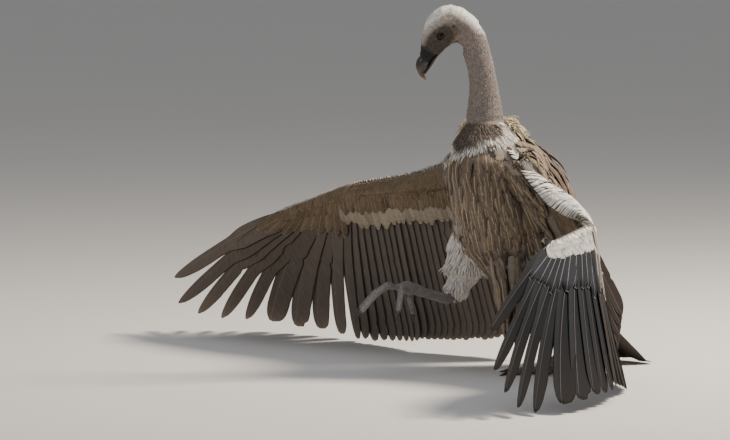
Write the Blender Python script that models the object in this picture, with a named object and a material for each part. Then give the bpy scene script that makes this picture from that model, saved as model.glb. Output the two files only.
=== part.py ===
"""White-backed vulture, life size, mantling with both wings dropped.

Frame: metres, +Z up, the bird looks along -Y and its left side is +X.
The origin lies on the floor under the middle of the outline.
"""
import math

import bmesh
import bpy
from mathutils import Vector

# Shapes as first built, kept so that later cuts follow clean surfaces.
UNCUT = {}

# Placing of the whole bird, from the point under its trunk to the origin.
SHIFT = Vector((0.1732, 0.1381, 0.0))

# Gap kept between neighbouring solids, and what a cutter grows by.
GAP = 0.0004
FLOOR = 0.0

# Direction from the bird's side view: the head is turned to the right.
SIDE_TURN = math.radians(50.0)
HEAD_PITCH = math.radians(54.0)

# Trunk stations: back (y, z), breast (y, z), half width.
TRUNK = (
    ((-0.0085, 0.4400), (-0.0805, 0.4400), 0.0360),
    ((0.0280, 0.4200), (-0.1040, 0.4120), 0.0580),
    ((0.0750, 0.3850), (-0.1180, 0.3720), 0.0820),
    ((0.1120, 0.3350), (-0.1080, 0.3160), 0.0940),
    ((0.1380, 0.2750), (-0.0950, 0.2620), 0.1000),
    ((0.1500, 0.2150), (-0.0830, 0.2080), 0.0950),
    ((0.1560, 0.1750), (-0.0300, 0.1640), 0.0750),
    ((0.1620, 0.1480), (0.0450, 0.1300), 0.0500),
    ((0.1640, 0.1340), (0.1080, 0.1180), 0.0250),
)
TRUNK_NODES = (("crop", 0, 1.45), ("breast", 1.45, 3.6), ("belly", 3.6, 6.0), ("rump", 6.0, 8.0))

# Neck centre line and half widths, lowest first; (x, y, z, half width).
NECK = (
    (-0.0040, -0.0445, 0.4410, 0.0350),
    (-0.0037, -0.0449, 0.4600, 0.0315),
    (-0.0018, -0.0478, 0.4850, 0.0280),
    (-0.0010, -0.0510, 0.5100, 0.0250),
    (-0.0020, -0.0560, 0.5350, 0.0243),
    (-0.0045, -0.0630, 0.5600, 0.0247),
)
NECK_SPLIT = 3

# Head in side view, from nape to cere: crown point, jaw point, half width.
# Both points are (forward, up) from the middle of the skull.
HEAD_CENTRE = (-0.0290, -0.0970, 0.6080)
HEAD = (
    ((-0.0226, -0.0548), (0.0222, -0.0400), 0.0245),
    ((-0.0335, -0.0253), (0.0200, -0.0320), 0.0255),
    ((-0.0343, 0.0033), (0.0195, -0.0280), 0.0262),
    ((-0.0262, 0.0233), (0.0215, -0.0235), 0.0262),
    ((-0.0131, 0.0354), (0.0270, -0.0195), 0.0255),
    ((0.0018, 0.0400), (0.0340, -0.0165), 0.0240),
    ((0.0172, 0.0414), (0.0415, -0.0147), 0.0215),
    ((0.0300, 0.0390), (0.0480, -0.0138), 0.0185),
    ((0.0420, 0.0330), (0.0540, -0.0132), 0.0160),
    ((0.0520, 0.0288), (0.0585, -0.0130), 0.0140),
    ((0.0600, 0.0240), (0.0610, -0.0085), 0.0125),
    ((0.0700, 0.0180), (0.0705, -0.0086), 0.0115),
    ((0.0785, 0.0142), (0.0785, -0.0088), 0.0108),
)
# Upper horn: ridge point, cutting edge point (forward, up), half width.
# The sections tilt over with the hook, so none of them crosses the next.
UPPER_HORN = (
    ((0.0785, 0.0142), (0.0785, -0.0088), 0.0106),
    ((0.0830, 0.0152), (0.0830, -0.0090), 0.0104),
    ((0.0900, 0.0138), (0.0890, -0.0095), 0.0096),
    ((0.0965, 0.0094), (0.0938, -0.0100), 0.0084),
    ((0.1015, 0.0040), (0.0972, -0.0106), 0.0068),
    ((0.1050, -0.0020), (0.0992, -0.0124), 0.0052),
    ((0.1066, -0.0085), (0.1004, -0.0146), 0.0038),
    ((0.1067, -0.0142), (0.1018, -0.0170), 0.0026),
    ((0.1060, -0.0190), (0.1036, -0.0197), 0.0013),
)
# Lower horn: forward, top, bottom, half width.
LOWER_HORN = (
    (0.0614, -0.0091, -0.0130, 0.0105),
    (0.0700, -0.0091, -0.0138, 0.0098),
    (0.0800, -0.0094, -0.0143, 0.0086),
    (0.0900, -0.0100, -0.0140, 0.0066),
    (0.0980, -0.0110, -0.0132, 0.0034),
)
EYE_AT = (0.0278, 0.0057)
EYE_RADIUS = 0.0078
EYE_SIDE = 0.0150

# Wings: shoulder, start of the tertials, elbow, wrist and hand tip, then how
# far the leading edge sags, then the lie of the feathers as (place along the
# wing, heading, climb, length), angles in degrees.
# Heading 0 is forward, 90 the bird's left; place .2 is the elbow, .6 the wrist.
LEFT_BONES = ((0.078, -0.040, 0.380), (0.094, 0.066, 0.300), (0.142, 0.050, 0.200),
              (0.335, -0.105, 0.266), (0.397, -0.241, 0.252))
LEFT_SAG = 0.16
LEFT_LIE = (
    (0.000, 166, -60, 0.215),
    (0.200, 158, -73, 0.205),
    (0.400, 100, -75, 0.240),
    (0.580, 62, -50, 0.315),
    (0.632, 57, -41, 0.365),
    (0.724, 52, -34, 0.420),
    (0.796, 46, -31, 0.470),
    (0.836, 41, -31, 0.490),
    (0.877, 38.5, -28.5, 0.500),
    (0.928, 36, -25, 0.490),
    (0.968, 34, -21.5, 0.450),
    (1.000, 32, -17, 0.380),
    (1.040, 30, -12, 0.330),
)
RIGHT_BONES = ((-0.070, -0.034, 0.368), (-0.098, 0.060, 0.335), (-0.215, 0.070, 0.315),
               (-0.471, 0.024, 0.287), (-0.615, 0.014, 0.246))
RIGHT_SAG = 0.42
RIGHT_LIE = (
    (0.000, -170, -66, 0.290),
    (0.200, -176, -72, 0.300),
    (0.450, -172, -72, 0.292),
    (0.600, -143, -57, 0.335),
    (0.700, -128, -41, 0.400),
    (0.800, -116, -32.5, 0.460),
    (0.900, -104, -29.5, 0.475),
    (0.960, -97, -26, 0.450),
    (1.000, -92, -22, 0.380),
    (1.040, -89, -18, 0.330),
)
ELBOW = 0.2
WRIST = 0.6
QUILL_LINE = 0.25
COVERT_END = 0.52
SEAM = 0.0018
# How far the hand's leading edge lies ahead of the quills, and above them.
HAND_LEAD = 0.014
HAND_RISE = 0.004
ARM_WIDTHS = (0.028, 0.034, 0.031, 0.024, 0.012)
FIRST_PRIMARY = 0.632
PRIMARY_STEP = 0.0409
PRIMARY_HALF_WIDTH = 0.024
# The raised left forearm carries a high crest of muscle and small feathers,
# with the leading edge drooping in front of it: (across, share of the height).
LEFT_CREST = 0.021
RIGHT_CREST = 0.0
CREST_WAY = (0.336, 0.400, 0.854)
CREST_ACROSS = ((0.0, -0.90), (0.035, 0.10), (0.08, 0.95), (0.14, 1.0), (0.25, 0.62), (0.52, 0.18), (0.80, 0.0), (1.0, 0.0))
CREST_ALONG = ((0.0, 0.0), (0.15, 0.10), (0.20, 0.30), (0.30, 0.75), (0.40, 1.0), (0.48, 0.75), (0.54, 0.30),
               (0.57, 0.0), (1.05, 0.0))
# Half thickness of the wing from leading edge to feather tips.
WING_DEPTH = ((0.0, 0.0040), (0.05, 0.0090), (0.15, 0.0125), (0.25, 0.0120), (0.40, 0.0065), (0.52, 0.0040),
              (0.75, 0.0026), (1.0, 0.0015))

# Legs: centre line (x, y, z) with half width, from thigh to ankle and down.
THIGH_LEFT = ((0.055, 0.020, 0.240, 0.052), (0.064, 0.030, 0.195, 0.046), (0.068, 0.055, 0.155, 0.036),
              (0.069, 0.082, 0.125, 0.023), (0.070, 0.100, 0.106, 0.0125))
SHANK_LEFT = ((0.070, 0.096, 0.108, 0.0085), (0.070, 0.098, 0.088, 0.0092), (0.072, 0.078, 0.050, 0.0085),
              (0.074, 0.056, 0.022, 0.0105), (0.075, 0.045, 0.0105, 0.0120), (0.075, 0.029, 0.0078, 0.0088))
THIGH_RIGHT = ((-0.055, -0.010, 0.240, 0.052), (-0.062, -0.030, 0.202, 0.046), (-0.065, -0.043, 0.170, 0.0375),
               (-0.063, -0.055, 0.143, 0.026), (-0.060, -0.066, 0.124, 0.0125))
SHANK_RIGHT = ((-0.060, -0.056, 0.126, 0.0090), (-0.060, -0.080, 0.126, 0.0092), (-0.060, -0.125, 0.138, 0.0085),
               (-0.060, -0.160, 0.149, 0.0105), (-0.060, -0.175, 0.152, 0.0120), (-0.060, -0.191, 0.151, 0.0088))
# Toes: name, heading, length, half width; the last one points back.
TOES = (("middle", 0, 0.088, 0.0072), ("inner", -38, 0.058, 0.0068), ("outer", 36, 0.066, 0.0062),
        ("hind", 178, 0.034, 0.0062))
TOE_START = 0.0155
# Height of a toe's middle over the floor, in half widths, so its pads lie flat.
PAD_SINK = 0.78
CLAW_LENGTH = 0.026

# Tail: root and tip of the middle feather, half widths, half thickness.
TAIL_ROOT = (0.0, 0.138, 0.142)
TAIL_TIP = (0.0, 0.300, -0.010)
TAIL_HALF_WIDTHS = (0.034, 0.072)
TAIL_DEPTH = 0.005


def paint(name, colour, roughness, metallic=0.0):
    """Principled material with one colour."""
    material = bpy.data.materials.new(name)
    material.use_nodes = True
    shader = material.node_tree.nodes["Principled BSDF"]
    shader.inputs["Base Color"].default_value = (*colour, 1.0)
    shader.inputs["Roughness"].default_value = roughness
    shader.inputs["Metallic"].default_value = metallic
    material.diffuse_color = (*colour, 1.0)
    return material


def clear_scene():
    """Take every object out of the file."""
    for thing in list(bpy.data.objects):
        bpy.data.objects.remove(thing, do_unlink=True)


def direction(heading, climb):
    """Unit vector; heading 0 is forward (-Y), 90 the bird's left (+X)."""
    a = math.radians(heading)
    e = math.radians(climb)
    return Vector((math.sin(a) * math.cos(e), -math.cos(a) * math.cos(e), math.sin(e)))


def body(name, points, faces, material):
    """Closed object from points and faces, turned to face outwards."""
    mesh = bpy.data.meshes.new(name)
    mesh.from_pydata([tuple(Vector(p) + SHIFT) for p in points], [], faces)
    shape = bmesh.new()
    shape.from_mesh(mesh)
    bmesh.ops.recalc_face_normals(shape, faces=shape.faces)
    if shape.calc_volume(signed=True) < 0.0:
        bmesh.ops.reverse_faces(shape, faces=shape.faces)
    shape.to_mesh(mesh)
    shape.free()
    mesh.materials.append(material)
    thing = bpy.data.objects.new(name, mesh)
    bpy.context.scene.collection.objects.link(thing)
    mesh.shade_smooth()
    UNCUT[thing.name] = mesh.copy()
    return thing


def ring(centre, side, up, half_width, half_height, count=20):
    """Points of an ellipse about the centre."""
    points = []
    for i in range(count):
        a = 2.0 * math.pi * i / count
        points.append(centre + side * (half_width * math.cos(a)) + up * (half_height * math.sin(a)))
    return points


def loft(name, rings, material, floor=None):
    """Closed body through rings of equal count, capped at both ends."""
    count = len(rings[0])
    points = [p.copy() for one in rings for p in one]
    faces = []
    for k in range(len(rings) - 1):
        for i in range(count):
            j = (i + 1) % count
            faces.append((k * count + i, k * count + j, (k + 1) * count + j, (k + 1) * count + i))
    for k in (0, len(rings) - 1):
        points.append(sum(rings[k], Vector()) / count)
        middle = len(points) - 1
        faces += [(middle, k * count + i, k * count + (i + 1) % count) for i in range(count)]
    if floor is not None:
        for p in points:
            p.z = max(p.z, floor)
    return body(name, points, faces, material)


def tube(name, line, material, count=16, squash=1.0, floor=None):
    """Loft of round rings along (x, y, z, half width) stations."""
    return loft(name, tube_rings(line, count, squash), material, floor)


def tube_rings(line, count=16, squash=1.0):
    """Rings square to the line through (x, y, z, half width) stations."""
    spots = [Vector(row[:3]) for row in line]
    rings = []
    for k, row in enumerate(line):
        ahead = spots[min(k + 1, len(spots) - 1)] - spots[max(k - 1, 0)]
        side = ahead.cross(Vector((0.0, 0.35, 1.0)))
        if side.length < 1e-6:
            side = Vector((1.0, 0.0, 0.0))
        side.normalize()
        up = side.cross(ahead).normalized()
        rings.append(ring(spots[k], side, up, row[3], row[3] * squash, count))
    return rings


def grown(thing, amount):
    """Copy of an object's uncut shape pushed out along its normals."""
    copy = bpy.data.objects.new("cutter", UNCUT[thing.name].copy())
    bpy.context.scene.collection.objects.link(copy)
    normals = [v.normal.copy() for v in copy.data.vertices]
    for vertex, normal in zip(copy.data.vertices, normals):
        vertex.co += normal * amount
    return copy


def subtract(thing, cutter):
    """Take the cutter away from the object and tidy the cut edge."""
    cut = thing.modifiers.new("cut", "BOOLEAN")
    cut.operation = "DIFFERENCE"
    cut.solver = "EXACT"
    cut.object = cutter
    bpy.context.view_layer.update()
    result = bpy.data.meshes.new_from_object(thing.evaluated_get(bpy.context.evaluated_depsgraph_get()))
    thing.modifiers.remove(cut)
    thing.data = result
    keep_largest(thing)


def keep_largest(thing):
    """Weld specks and drop crumbs left beside the main body by a cut."""
    shape = bmesh.new()
    shape.from_mesh(thing.data)
    bmesh.ops.remove_doubles(shape, verts=shape.verts, dist=0.000004)
    islands = split_islands(shape)
    largest = max(islands, key=len)
    spare = [v for island in islands if island is not largest for v in island]
    bmesh.ops.delete(shape, geom=spare, context="VERTS")
    bmesh.ops.recalc_face_normals(shape, faces=shape.faces)
    if shape.calc_volume(signed=True) < 0.0:
        bmesh.ops.reverse_faces(shape, faces=shape.faces)
    shape.to_mesh(thing.data)
    shape.free()


def split_islands(shape):
    """Lists of joined vertices."""
    left = set(shape.verts)
    islands = []
    while left:
        stack = [left.pop()]
        island = list(stack)
        while stack:
            for edge in stack.pop().link_edges:
                for vertex in edge.verts:
                    if vertex in left:
                        left.remove(vertex)
                        stack.append(vertex)
                        island.append(vertex)
        islands.append(island)
    return islands


def fit_against(thing, *others):
    """Cut an object back so it stops a gap short of the others."""
    for other in others:
        cutter = grown(other, GAP)
        subtract(thing, cutter)
        bpy.data.objects.remove(cutter, do_unlink=True)


def between(rows, place):
    """Linear reading of a table of number rows at a fractional row."""
    low = min(int(place), len(rows) - 2)
    share = place - low
    return [a + (b - a) * share for a, b in zip(rows[low], rows[low + 1])]


def along(rows, place):
    """Linear reading of rows whose first number is the place."""
    for low, high in zip(rows, rows[1:]):
        if place <= high[0]:
            break
    share = (place - low[0]) / (high[0] - low[0])
    return [a + (b - a) * share for a, b in zip(low[1:], high[1:])]


# ---- trunk -------------------------------------------------------------

def trunk_ring(place):
    """Cross-section of the trunk at a fractional station."""
    flat = [(*back, *front, wide) for back, front, wide in TRUNK]
    by, bz, fy, fz, wide = between(flat, place)
    back = Vector((0.0, by, bz))
    front = Vector((0.0, fy, fz))
    up = (back - front) / 2.0
    return ring((back + front) / 2.0, Vector((1.0, 0.0, 0.0)), up.normalized(), wide, up.length)


def build_trunk(plumage):
    """Crop, breast, belly and rump, then one whole trunk used as a cutter."""
    for name, start, end in TRUNK_NODES:
        start_gap = 0.008 if start else 0.0
        steps = [start + start_gap + (end - start - start_gap) * k / 4.0 for k in range(5)]
        loft(name, [trunk_ring(place) for place in steps], plumage[name])
    whole = [trunk_ring(k / 2.0) for k in range(2 * (len(TRUNK) - 1) + 1)]
    return loft("whole_trunk", whole, plumage["breast"])


# ---- neck and head -----------------------------------------------------

def head_axes():
    """Forward, up and left of the head as it hangs."""
    right = Vector((math.cos(SIDE_TURN), math.sin(SIDE_TURN), 0.0))
    rise = Vector((0.0, 0.0, 1.0))
    forward = -right * math.cos(HEAD_PITCH) - rise * math.sin(HEAD_PITCH)
    up = -right * math.sin(HEAD_PITCH) + rise * math.cos(HEAD_PITCH)
    return forward, up, up.cross(forward)


def head_point(forward_by, up_by, left_by=0.0):
    """Point given in the head's own forward, up and left."""
    forward, up, left = head_axes()
    return Vector(HEAD_CENTRE) + forward * forward_by + up * up_by + left * left_by


def head_ring(top, bottom, wide, count=20):
    """Head cross-section through its upper and lower profile points."""
    left = head_axes()[2]
    crown = head_point(*top)
    jaw = head_point(*bottom)
    up = (crown - jaw) / 2.0
    return ring((crown + jaw) / 2.0, left, up.normalized(), wide, up.length, count)


def neck_rings():
    """Neck cross-sections, turned from level at the base to the nape."""
    nape = head_ring(*HEAD[0])
    nape_middle = sum(nape, Vector()) / len(nape)
    left = head_axes()[2]
    spots = [Vector(row[:3]) for row in NECK] + [nape_middle]
    rings = []
    for k, row in enumerate(NECK):
        ahead = (spots[k + 1] - spots[max(k - 1, 0)]) if k else Vector((0.0, 0.0, 1.0))
        up = left.cross(ahead).normalized()
        rings.append(ring(spots[k], left, -up, row[3], row[3]))
    return rings, nape


def build_neck(skin):
    """Lower and upper neck with a fine gap where they meet."""
    rings, nape = neck_rings()
    rings[0] = [p + Vector((0.0, 0.0, GAP)) for p in rings[0]]
    lower = loft("neck_lower", rings[:NECK_SPLIT + 1], skin)
    lift = (sum(rings[NECK_SPLIT + 1], Vector()) - sum(rings[NECK_SPLIT], Vector())).normalized() * GAP
    start = [p + lift for p in rings[NECK_SPLIT]]
    loft("neck_upper", [start] + rings[NECK_SPLIT + 1:] + [nape], skin)
    return lower


def build_head(skin, horn, glass):
    """Head, both halves of the bill and the eyes."""
    rings = [head_ring(*row) for row in HEAD]
    inward = (sum(rings[1], Vector()) - sum(rings[0], Vector())).normalized() * GAP
    rings[0] = [p + inward for p in rings[0]]
    head = loft("head", rings, skin)
    forward = head_axes()[0] * GAP
    upper = [head_ring(*row, 14) for row in UPPER_HORN]
    loft("bill_upper", [[p + forward for p in one] for one in upper], horn)
    lower = [head_ring((f, t), (f, b), w, 12) for f, t, b, w in LOWER_HORN]
    loft("bill_lower", lower, horn)
    for name, sign in (("eye_left", 1.0), ("eye_right", -1.0)):
        eye = ball(name, head_point(*EYE_AT, EYE_SIDE * sign), EYE_RADIUS, glass)
        fit_against(head, eye)


def ball(name, centre, radius, material, count=12):
    """Round body from stacked rings."""
    rings = []
    for k in range(1, count // 2):
        a = math.pi * k / (count // 2)
        middle = centre + Vector((0.0, 0.0, radius * math.cos(a)))
        rings.append(ring(middle, Vector((1, 0, 0)), Vector((0, 1, 0)), radius * math.sin(a),
                          radius * math.sin(a), count))
    return loft(name, rings, material)


def build_ruff(down, *neighbours):
    """Half collar of frayed plumes behind the neck base."""
    rings = []
    for k in range(11):
        a = math.radians(-35.0 + 225.0 * k / 10.0)
        share = math.sin(math.pi * (k + 1.0) / 12.0)
        out = Vector((math.cos(a), math.sin(a), 0.0))
        centre = Vector((0.0, -0.042, 0.440)) + out * (0.046 + 0.012 * share) + Vector((0, 0, -0.012 * share))
        rise = Vector((0.0, 0.0, 1.0)) - out * 0.6
        rings.append(ring(centre, out, rise.normalized(), 0.004 + 0.016 * share, 0.005 + 0.017 * share, 10))
    fit_against(loft("ruff", rings, down), *neighbours)


# ---- wings -------------------------------------------------------------

def bone_point(bones, place):
    """Point on the line of the quills."""
    start, elbow, wrist, hand = [Vector(b) for b in bones[1:]]
    if place < ELBOW:
        return start.lerp(elbow, place / ELBOW)
    if place < WRIST:
        return elbow.lerp(wrist, (place - ELBOW) / (WRIST - ELBOW))
    return wrist + (hand - wrist) * ((place - WRIST) / (1.0 - WRIST))


def hand_edge(wing, place):
    """Leading edge of the hand, ahead of the quills and a little above."""
    heading, climb, _ = along(wing[2], place)
    ahead = direction(heading, climb) * HAND_LEAD
    return bone_point(wing[0], place) - ahead + Vector((0.0, 0.0, HAND_RISE))


def leading_point(wing, place):
    """Point on the leading edge: skin web to the wrist, then the hand."""
    bones, droop = wing[:2]
    shoulder, elbow, wrist = [Vector(bones[k]) for k in (0, 2, 3)]
    if place >= WRIST:
        return hand_edge(wing, place)
    start = shoulder + Vector((-0.25 * shoulder.x, -0.010, 0.022))
    share = max(place - ELBOW, 0.0) / (WRIST - ELBOW)
    sag = (elbow - start.lerp(wrist, 0.5)) * (droop * math.sin(math.pi * share))
    return start.lerp(hand_edge(wing, WRIST), share) + sag


def feather(wing, place):
    """Root, direction and length of the feather at a place on the wing."""
    heading, climb, length = along(wing[2], place)
    root = bone_point(wing[0], place)
    way = direction(heading, climb)
    reach = (root.z - FLOOR) / max(-way.z, 0.05)
    return root, way, min(length, reach)


def sheet(wing, place, across):
    """Middle surface of the wing; across 0 is the leading edge, 1 the tips."""
    root, way, length = feather(wing, place)
    rise = wing[3] * along(CREST_ACROSS, across)[0] * along(CREST_ALONG, place)[0]
    crest = Vector(CREST_WAY) * rise
    if across < QUILL_LINE:
        return leading_point(wing, place).lerp(root, across / QUILL_LINE) + crest
    return root + way * (length * (across - QUILL_LINE) / (1.0 - QUILL_LINE)) + crest


def sheet_normal(wing, place, across):
    """Direction square to the sheet, towards the wing's under side."""
    step = 0.03
    reach = 0.07 if across < QUILL_LINE and place < WRIST else 0.12
    low = max(across - reach, 0.0 if place > ELBOW else QUILL_LINE)
    high = min(across + reach, 1.0)
    span = sheet(wing, min(place + step, 1.03), across) - sheet(wing, max(place - step, 0.0), across)
    chord = sheet(wing, place, high) - sheet(wing, place, low)
    return span.cross(chord).normalized() * (1.0 if wing[0][0][0] < 0 else -1.0)


def half_depth(place, across):
    """Half thickness of the wing, fuller near the body."""
    full = along(WING_DEPTH, across)[0]
    if across > COVERT_END:
        return full
    swell = along(((0.0, 0.6), (ELBOW, 1.1), (WRIST, 1.0), (1.05, 0.38)), place)[0]
    return max(full * swell, 0.004)


def slab(name, middle, up, depth, rows, columns, material):
    """Closed body of a grid of middle points thickened both ways."""
    points = []
    for sign in (1.0, -1.0):
        for i in range(rows):
            for j in range(columns):
                p = middle(i, j) + up(i, j) * depth(i, j) * sign
                p.z = max(p.z, FLOOR)
                points.append(p)
    half = rows * columns
    faces = []
    for i in range(rows - 1):
        for j in range(columns - 1):
            a = i * columns + j
            faces.append((a, a + 1, a + columns + 1, a + columns))
            faces.append((half + a, half + a + columns, half + a + columns + 1, half + a + 1))
    rim = [j for j in range(columns)]
    rim += [i * columns + columns - 1 for i in range(1, rows)]
    rim += [(rows - 1) * columns + j for j in range(columns - 2, -1, -1)]
    rim += [i * columns for i in range(rows - 2, 0, -1)]
    for a, b in zip(rim, rim[1:] + rim[:1]):
        faces.append((a, half + a, half + b, b))
    return body(name, points, faces, material)


def wing_panel(name, wing, places, acrosses, material, notch=None):
    """Part of the wing between two places and two distances across."""
    rows = len(places)
    columns = len(acrosses)

    def spot(i, j):
        across = acrosses[j]
        if notch and j == columns - 1:
            across -= notch(i)
        return places[i], across

    return slab(name,
                lambda i, j: sheet(wing, *spot(i, j)),
                lambda i, j: sheet_normal(wing, *spot(i, j)),
                lambda i, j: half_depth(*spot(i, j)),
                rows, columns, material)


def spread(low, high, count):
    """Even steps from low to high."""
    return [low + (high - low) * k / (count - 1.0) for k in range(count)]


def scallop(step):
    """How far the feather edge falls back between two tips."""
    return (0.035, 0.012, 0.0, 0.012)[step % 4]


def feather_edge(name, wing, start, end, count, material):
    """Row of flight feathers as one panel with a scalloped edge."""
    steps = spread(start + 0.0006, end - 0.0006, 4 * count + 1)
    acrosses = [COVERT_END + SEAM, 0.88, 1.0]
    return wing_panel(name, wing, steps, acrosses, material, scallop)


def finger(name, wing, place, material):
    """One long primary, free of its neighbours towards the tip."""
    acrosses = [COVERT_END + 1.6 * SEAM, 0.60, 0.70, 0.80, 0.90, 0.96, 1.0]
    taper = [1.0, 1.0, 1.0, 0.94, 0.80, 0.58, 0.22]

    def half_place(j):
        step = 0.01
        across = acrosses[j]
        stride = (sheet(wing, place + step, across) - sheet(wing, place - step, across)).length / (2.0 * step)
        room = PRIMARY_STEP / 2.0 - 0.0022
        return min(room, PRIMARY_HALF_WIDTH / stride) * taper[j]

    def spot(i, j):
        return place + half_place(j) * (i - 1.0), acrosses[j]

    return slab(name,
                lambda i, j: sheet(wing, *spot(i, j)),
                lambda i, j: sheet_normal(wing, *spot(i, j)),
                lambda i, j: half_depth(*spot(i, j)),
                3, len(acrosses), material)


def build_arm(side, bones, material, *neighbours):
    """Upper arm from the shoulder to just past the elbow."""
    shoulder = Vector(bones[0])
    elbow = Vector(bones[2])
    shares = spread(0.0, 1.10, len(ARM_WIDTHS))
    line = [(*shoulder.lerp(elbow, share), wide) for share, wide in zip(shares, ARM_WIDTHS)]
    arm = tube(f"arm_{side}", line, material, 16)
    fit_against(arm, *neighbours)
    return arm


def build_wing(side, wing, plumage, *neighbours):
    """Arm, forearm, hand, then the tertials, secondaries and primaries."""
    arm = build_arm(side, wing[0], plumage["arm"], *neighbours)
    across = [0.0, 0.035, 0.08, 0.14, 0.25, COVERT_END - SEAM]
    for part, start, end, count in (("forearm", ELBOW, WRIST, 15), ("hand", WRIST, 1.012, 11)):
        places = spread(start + 0.0012, end - 0.0012, count)
        panel = wing_panel(f"{part}_{side}", wing, places, across, plumage[part])
        if part == "forearm":
            fit_against(panel, arm, *neighbours)
    tertials = wing_panel(f"tertials_{side}", wing, spread(0.0, ELBOW - 0.0012, 13),
                          [QUILL_LINE + 0.01, 0.45, 0.7, 0.92, 1.0], plumage["secondaries"], scallop)
    fit_against(tertials, arm, *neighbours)
    inner_end = FIRST_PRIMARY + 4.5 * PRIMARY_STEP
    feather_edge(f"secondaries_{side}", wing, ELBOW, FIRST_PRIMARY - PRIMARY_STEP / 2.0, 10,
                 plumage["secondaries"])
    feather_edge(f"primaries_inner_{side}", wing, FIRST_PRIMARY - PRIMARY_STEP / 2.0, inner_end, 5,
                 plumage["primaries"])
    for number in range(6, 11):
        place = FIRST_PRIMARY + (number - 1) * PRIMARY_STEP
        finger(f"primary_{number}_{side}", wing, place, plumage["primaries"])


# ---- tail and flank ----------------------------------------------------

def build_tail(material, trunk):
    """Folded tail fan resting its tip on the floor."""
    root = Vector(TAIL_ROOT)
    tip = Vector(TAIL_TIP)
    up = (tip - root).cross(Vector((-1.0, 0.0, 0.0))).normalized()
    sides = spread(-1.0, 1.0, 9)
    steps = [0.0, 0.3, 0.6, 0.88, 0.94, 1.0]

    def middle(i, j):
        share = steps[j]
        wide = TAIL_HALF_WIDTHS[0] + (TAIL_HALF_WIDTHS[1] - TAIL_HALF_WIDTHS[0]) * share
        centre = root.lerp(tip, share - 0.03 * sides[i] ** 2 * share)
        spot = centre + Vector((wide * sides[i], 0.0, 0.0)) - up * (0.010 * sides[i] ** 2)
        spot.z = max(spot.z, FLOOR + 0.0015)
        return spot

    tail = slab("tail", middle, lambda i, j: up, lambda i, j: TAIL_DEPTH * (1.0 - 0.5 * steps[j]),
                len(sides), len(steps), material)
    fit_against(tail, trunk)


def build_flank(material, *neighbours):
    """Long belly feathers hanging in front of the standing leg."""
    rings = []
    for share in spread(0.0, 1.0, 6):
        centre = Vector((0.062 + 0.006 * share, -0.048 + 0.006 * share, 0.185 - 0.145 * share))
        wide = 0.040 - 0.026 * share
        rings.append(ring(centre, Vector((1, 0, 0)), Vector((0, 1, 0)), wide, 0.011 - 0.007 * share, 14))
    fit_against(loft("flank_plumes", rings, material), *neighbours)


# ---- legs --------------------------------------------------------------

def toe_line(start, way, length, wide, drop, floor):
    """Stations of a toe that arches over its knuckles."""
    line = []
    for share, thick, arch in ((0.0, 0.58, 0.0), (0.3, 1.0, 0.10), (0.62, 0.86, 0.06), (1.0, 0.68, -0.04)):
        spot = start + way * (TOE_START + length * share)
        spot.z += arch * length - drop * share * share
        if floor is not None:
            spot.z = floor + wide * thick * PAD_SINK
        line.append((*spot, wide * thick))
    return line


def claw_line(toe, length):
    """Stations of a claw curving down from the toe end."""
    end = Vector(toe[-1][:3])
    way = (end - Vector(toe[-2][:3])).normalized()
    start = end + way * (1.5 * GAP)
    base = toe[-1][3] * 0.86
    line = [(*start, base)]
    for share in (0.35, 0.7, 1.0):
        spot = start + way * (length * (share - 0.25 * share * share)) - Vector((0, 0, 0.30 * length * share * share))
        line.append((*spot, base * (1.0 - 0.86 * share)))
    return line


def build_foot(side, joint, drop, floor, skin, horn, shank):
    """Four toes and their claws about the foot joint."""
    mirror = 1.0 if side == "left" else -1.0
    for name, heading, length, wide in TOES:
        hanging = name == "hind" and floor is None
        way = direction(heading * mirror, -72.0 if hanging else 0.0)
        line = toe_line(Vector(joint), way, length, wide, 0.0 if hanging else drop, floor)
        toe = tube(f"toe_{name}_{side}", line, skin, 10, 1.0, floor)
        fit_against(toe, shank)
        scale = 0.8 if name == "outer" else 1.0
        claw = claw_line(line, CLAW_LENGTH * scale)
        if floor is not None:
            claw = [(x, y, max(z, floor + r + 0.0008), r) for x, y, z, r in claw]
        tube(f"claw_{name}_{side}", claw, horn, 8, 1.0, floor)


def build_legs(plumage, trunk):
    """Thighs, shanks and feet: the left stands, the right is lifted."""
    thighs = {}
    for side, line in (("left", THIGH_LEFT), ("right", THIGH_RIGHT)):
        thighs[side] = tube(f"thigh_{side}", line, plumage["thigh"], 16)
        fit_against(thighs[side], trunk)
    for side, line, drop, floor in (("left", SHANK_LEFT, 0.0, FLOOR), ("right", SHANK_RIGHT, 0.034, None)):
        shank = tube(f"shank_{side}", line, plumage["leg"], 12, 1.0, floor)
        fit_against(shank, thighs[side])
        joint = Vector(line[-2][:3])
        build_foot(side, joint, drop, floor, plumage["leg"], plumage["horn"], shank)
    return thighs


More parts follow.
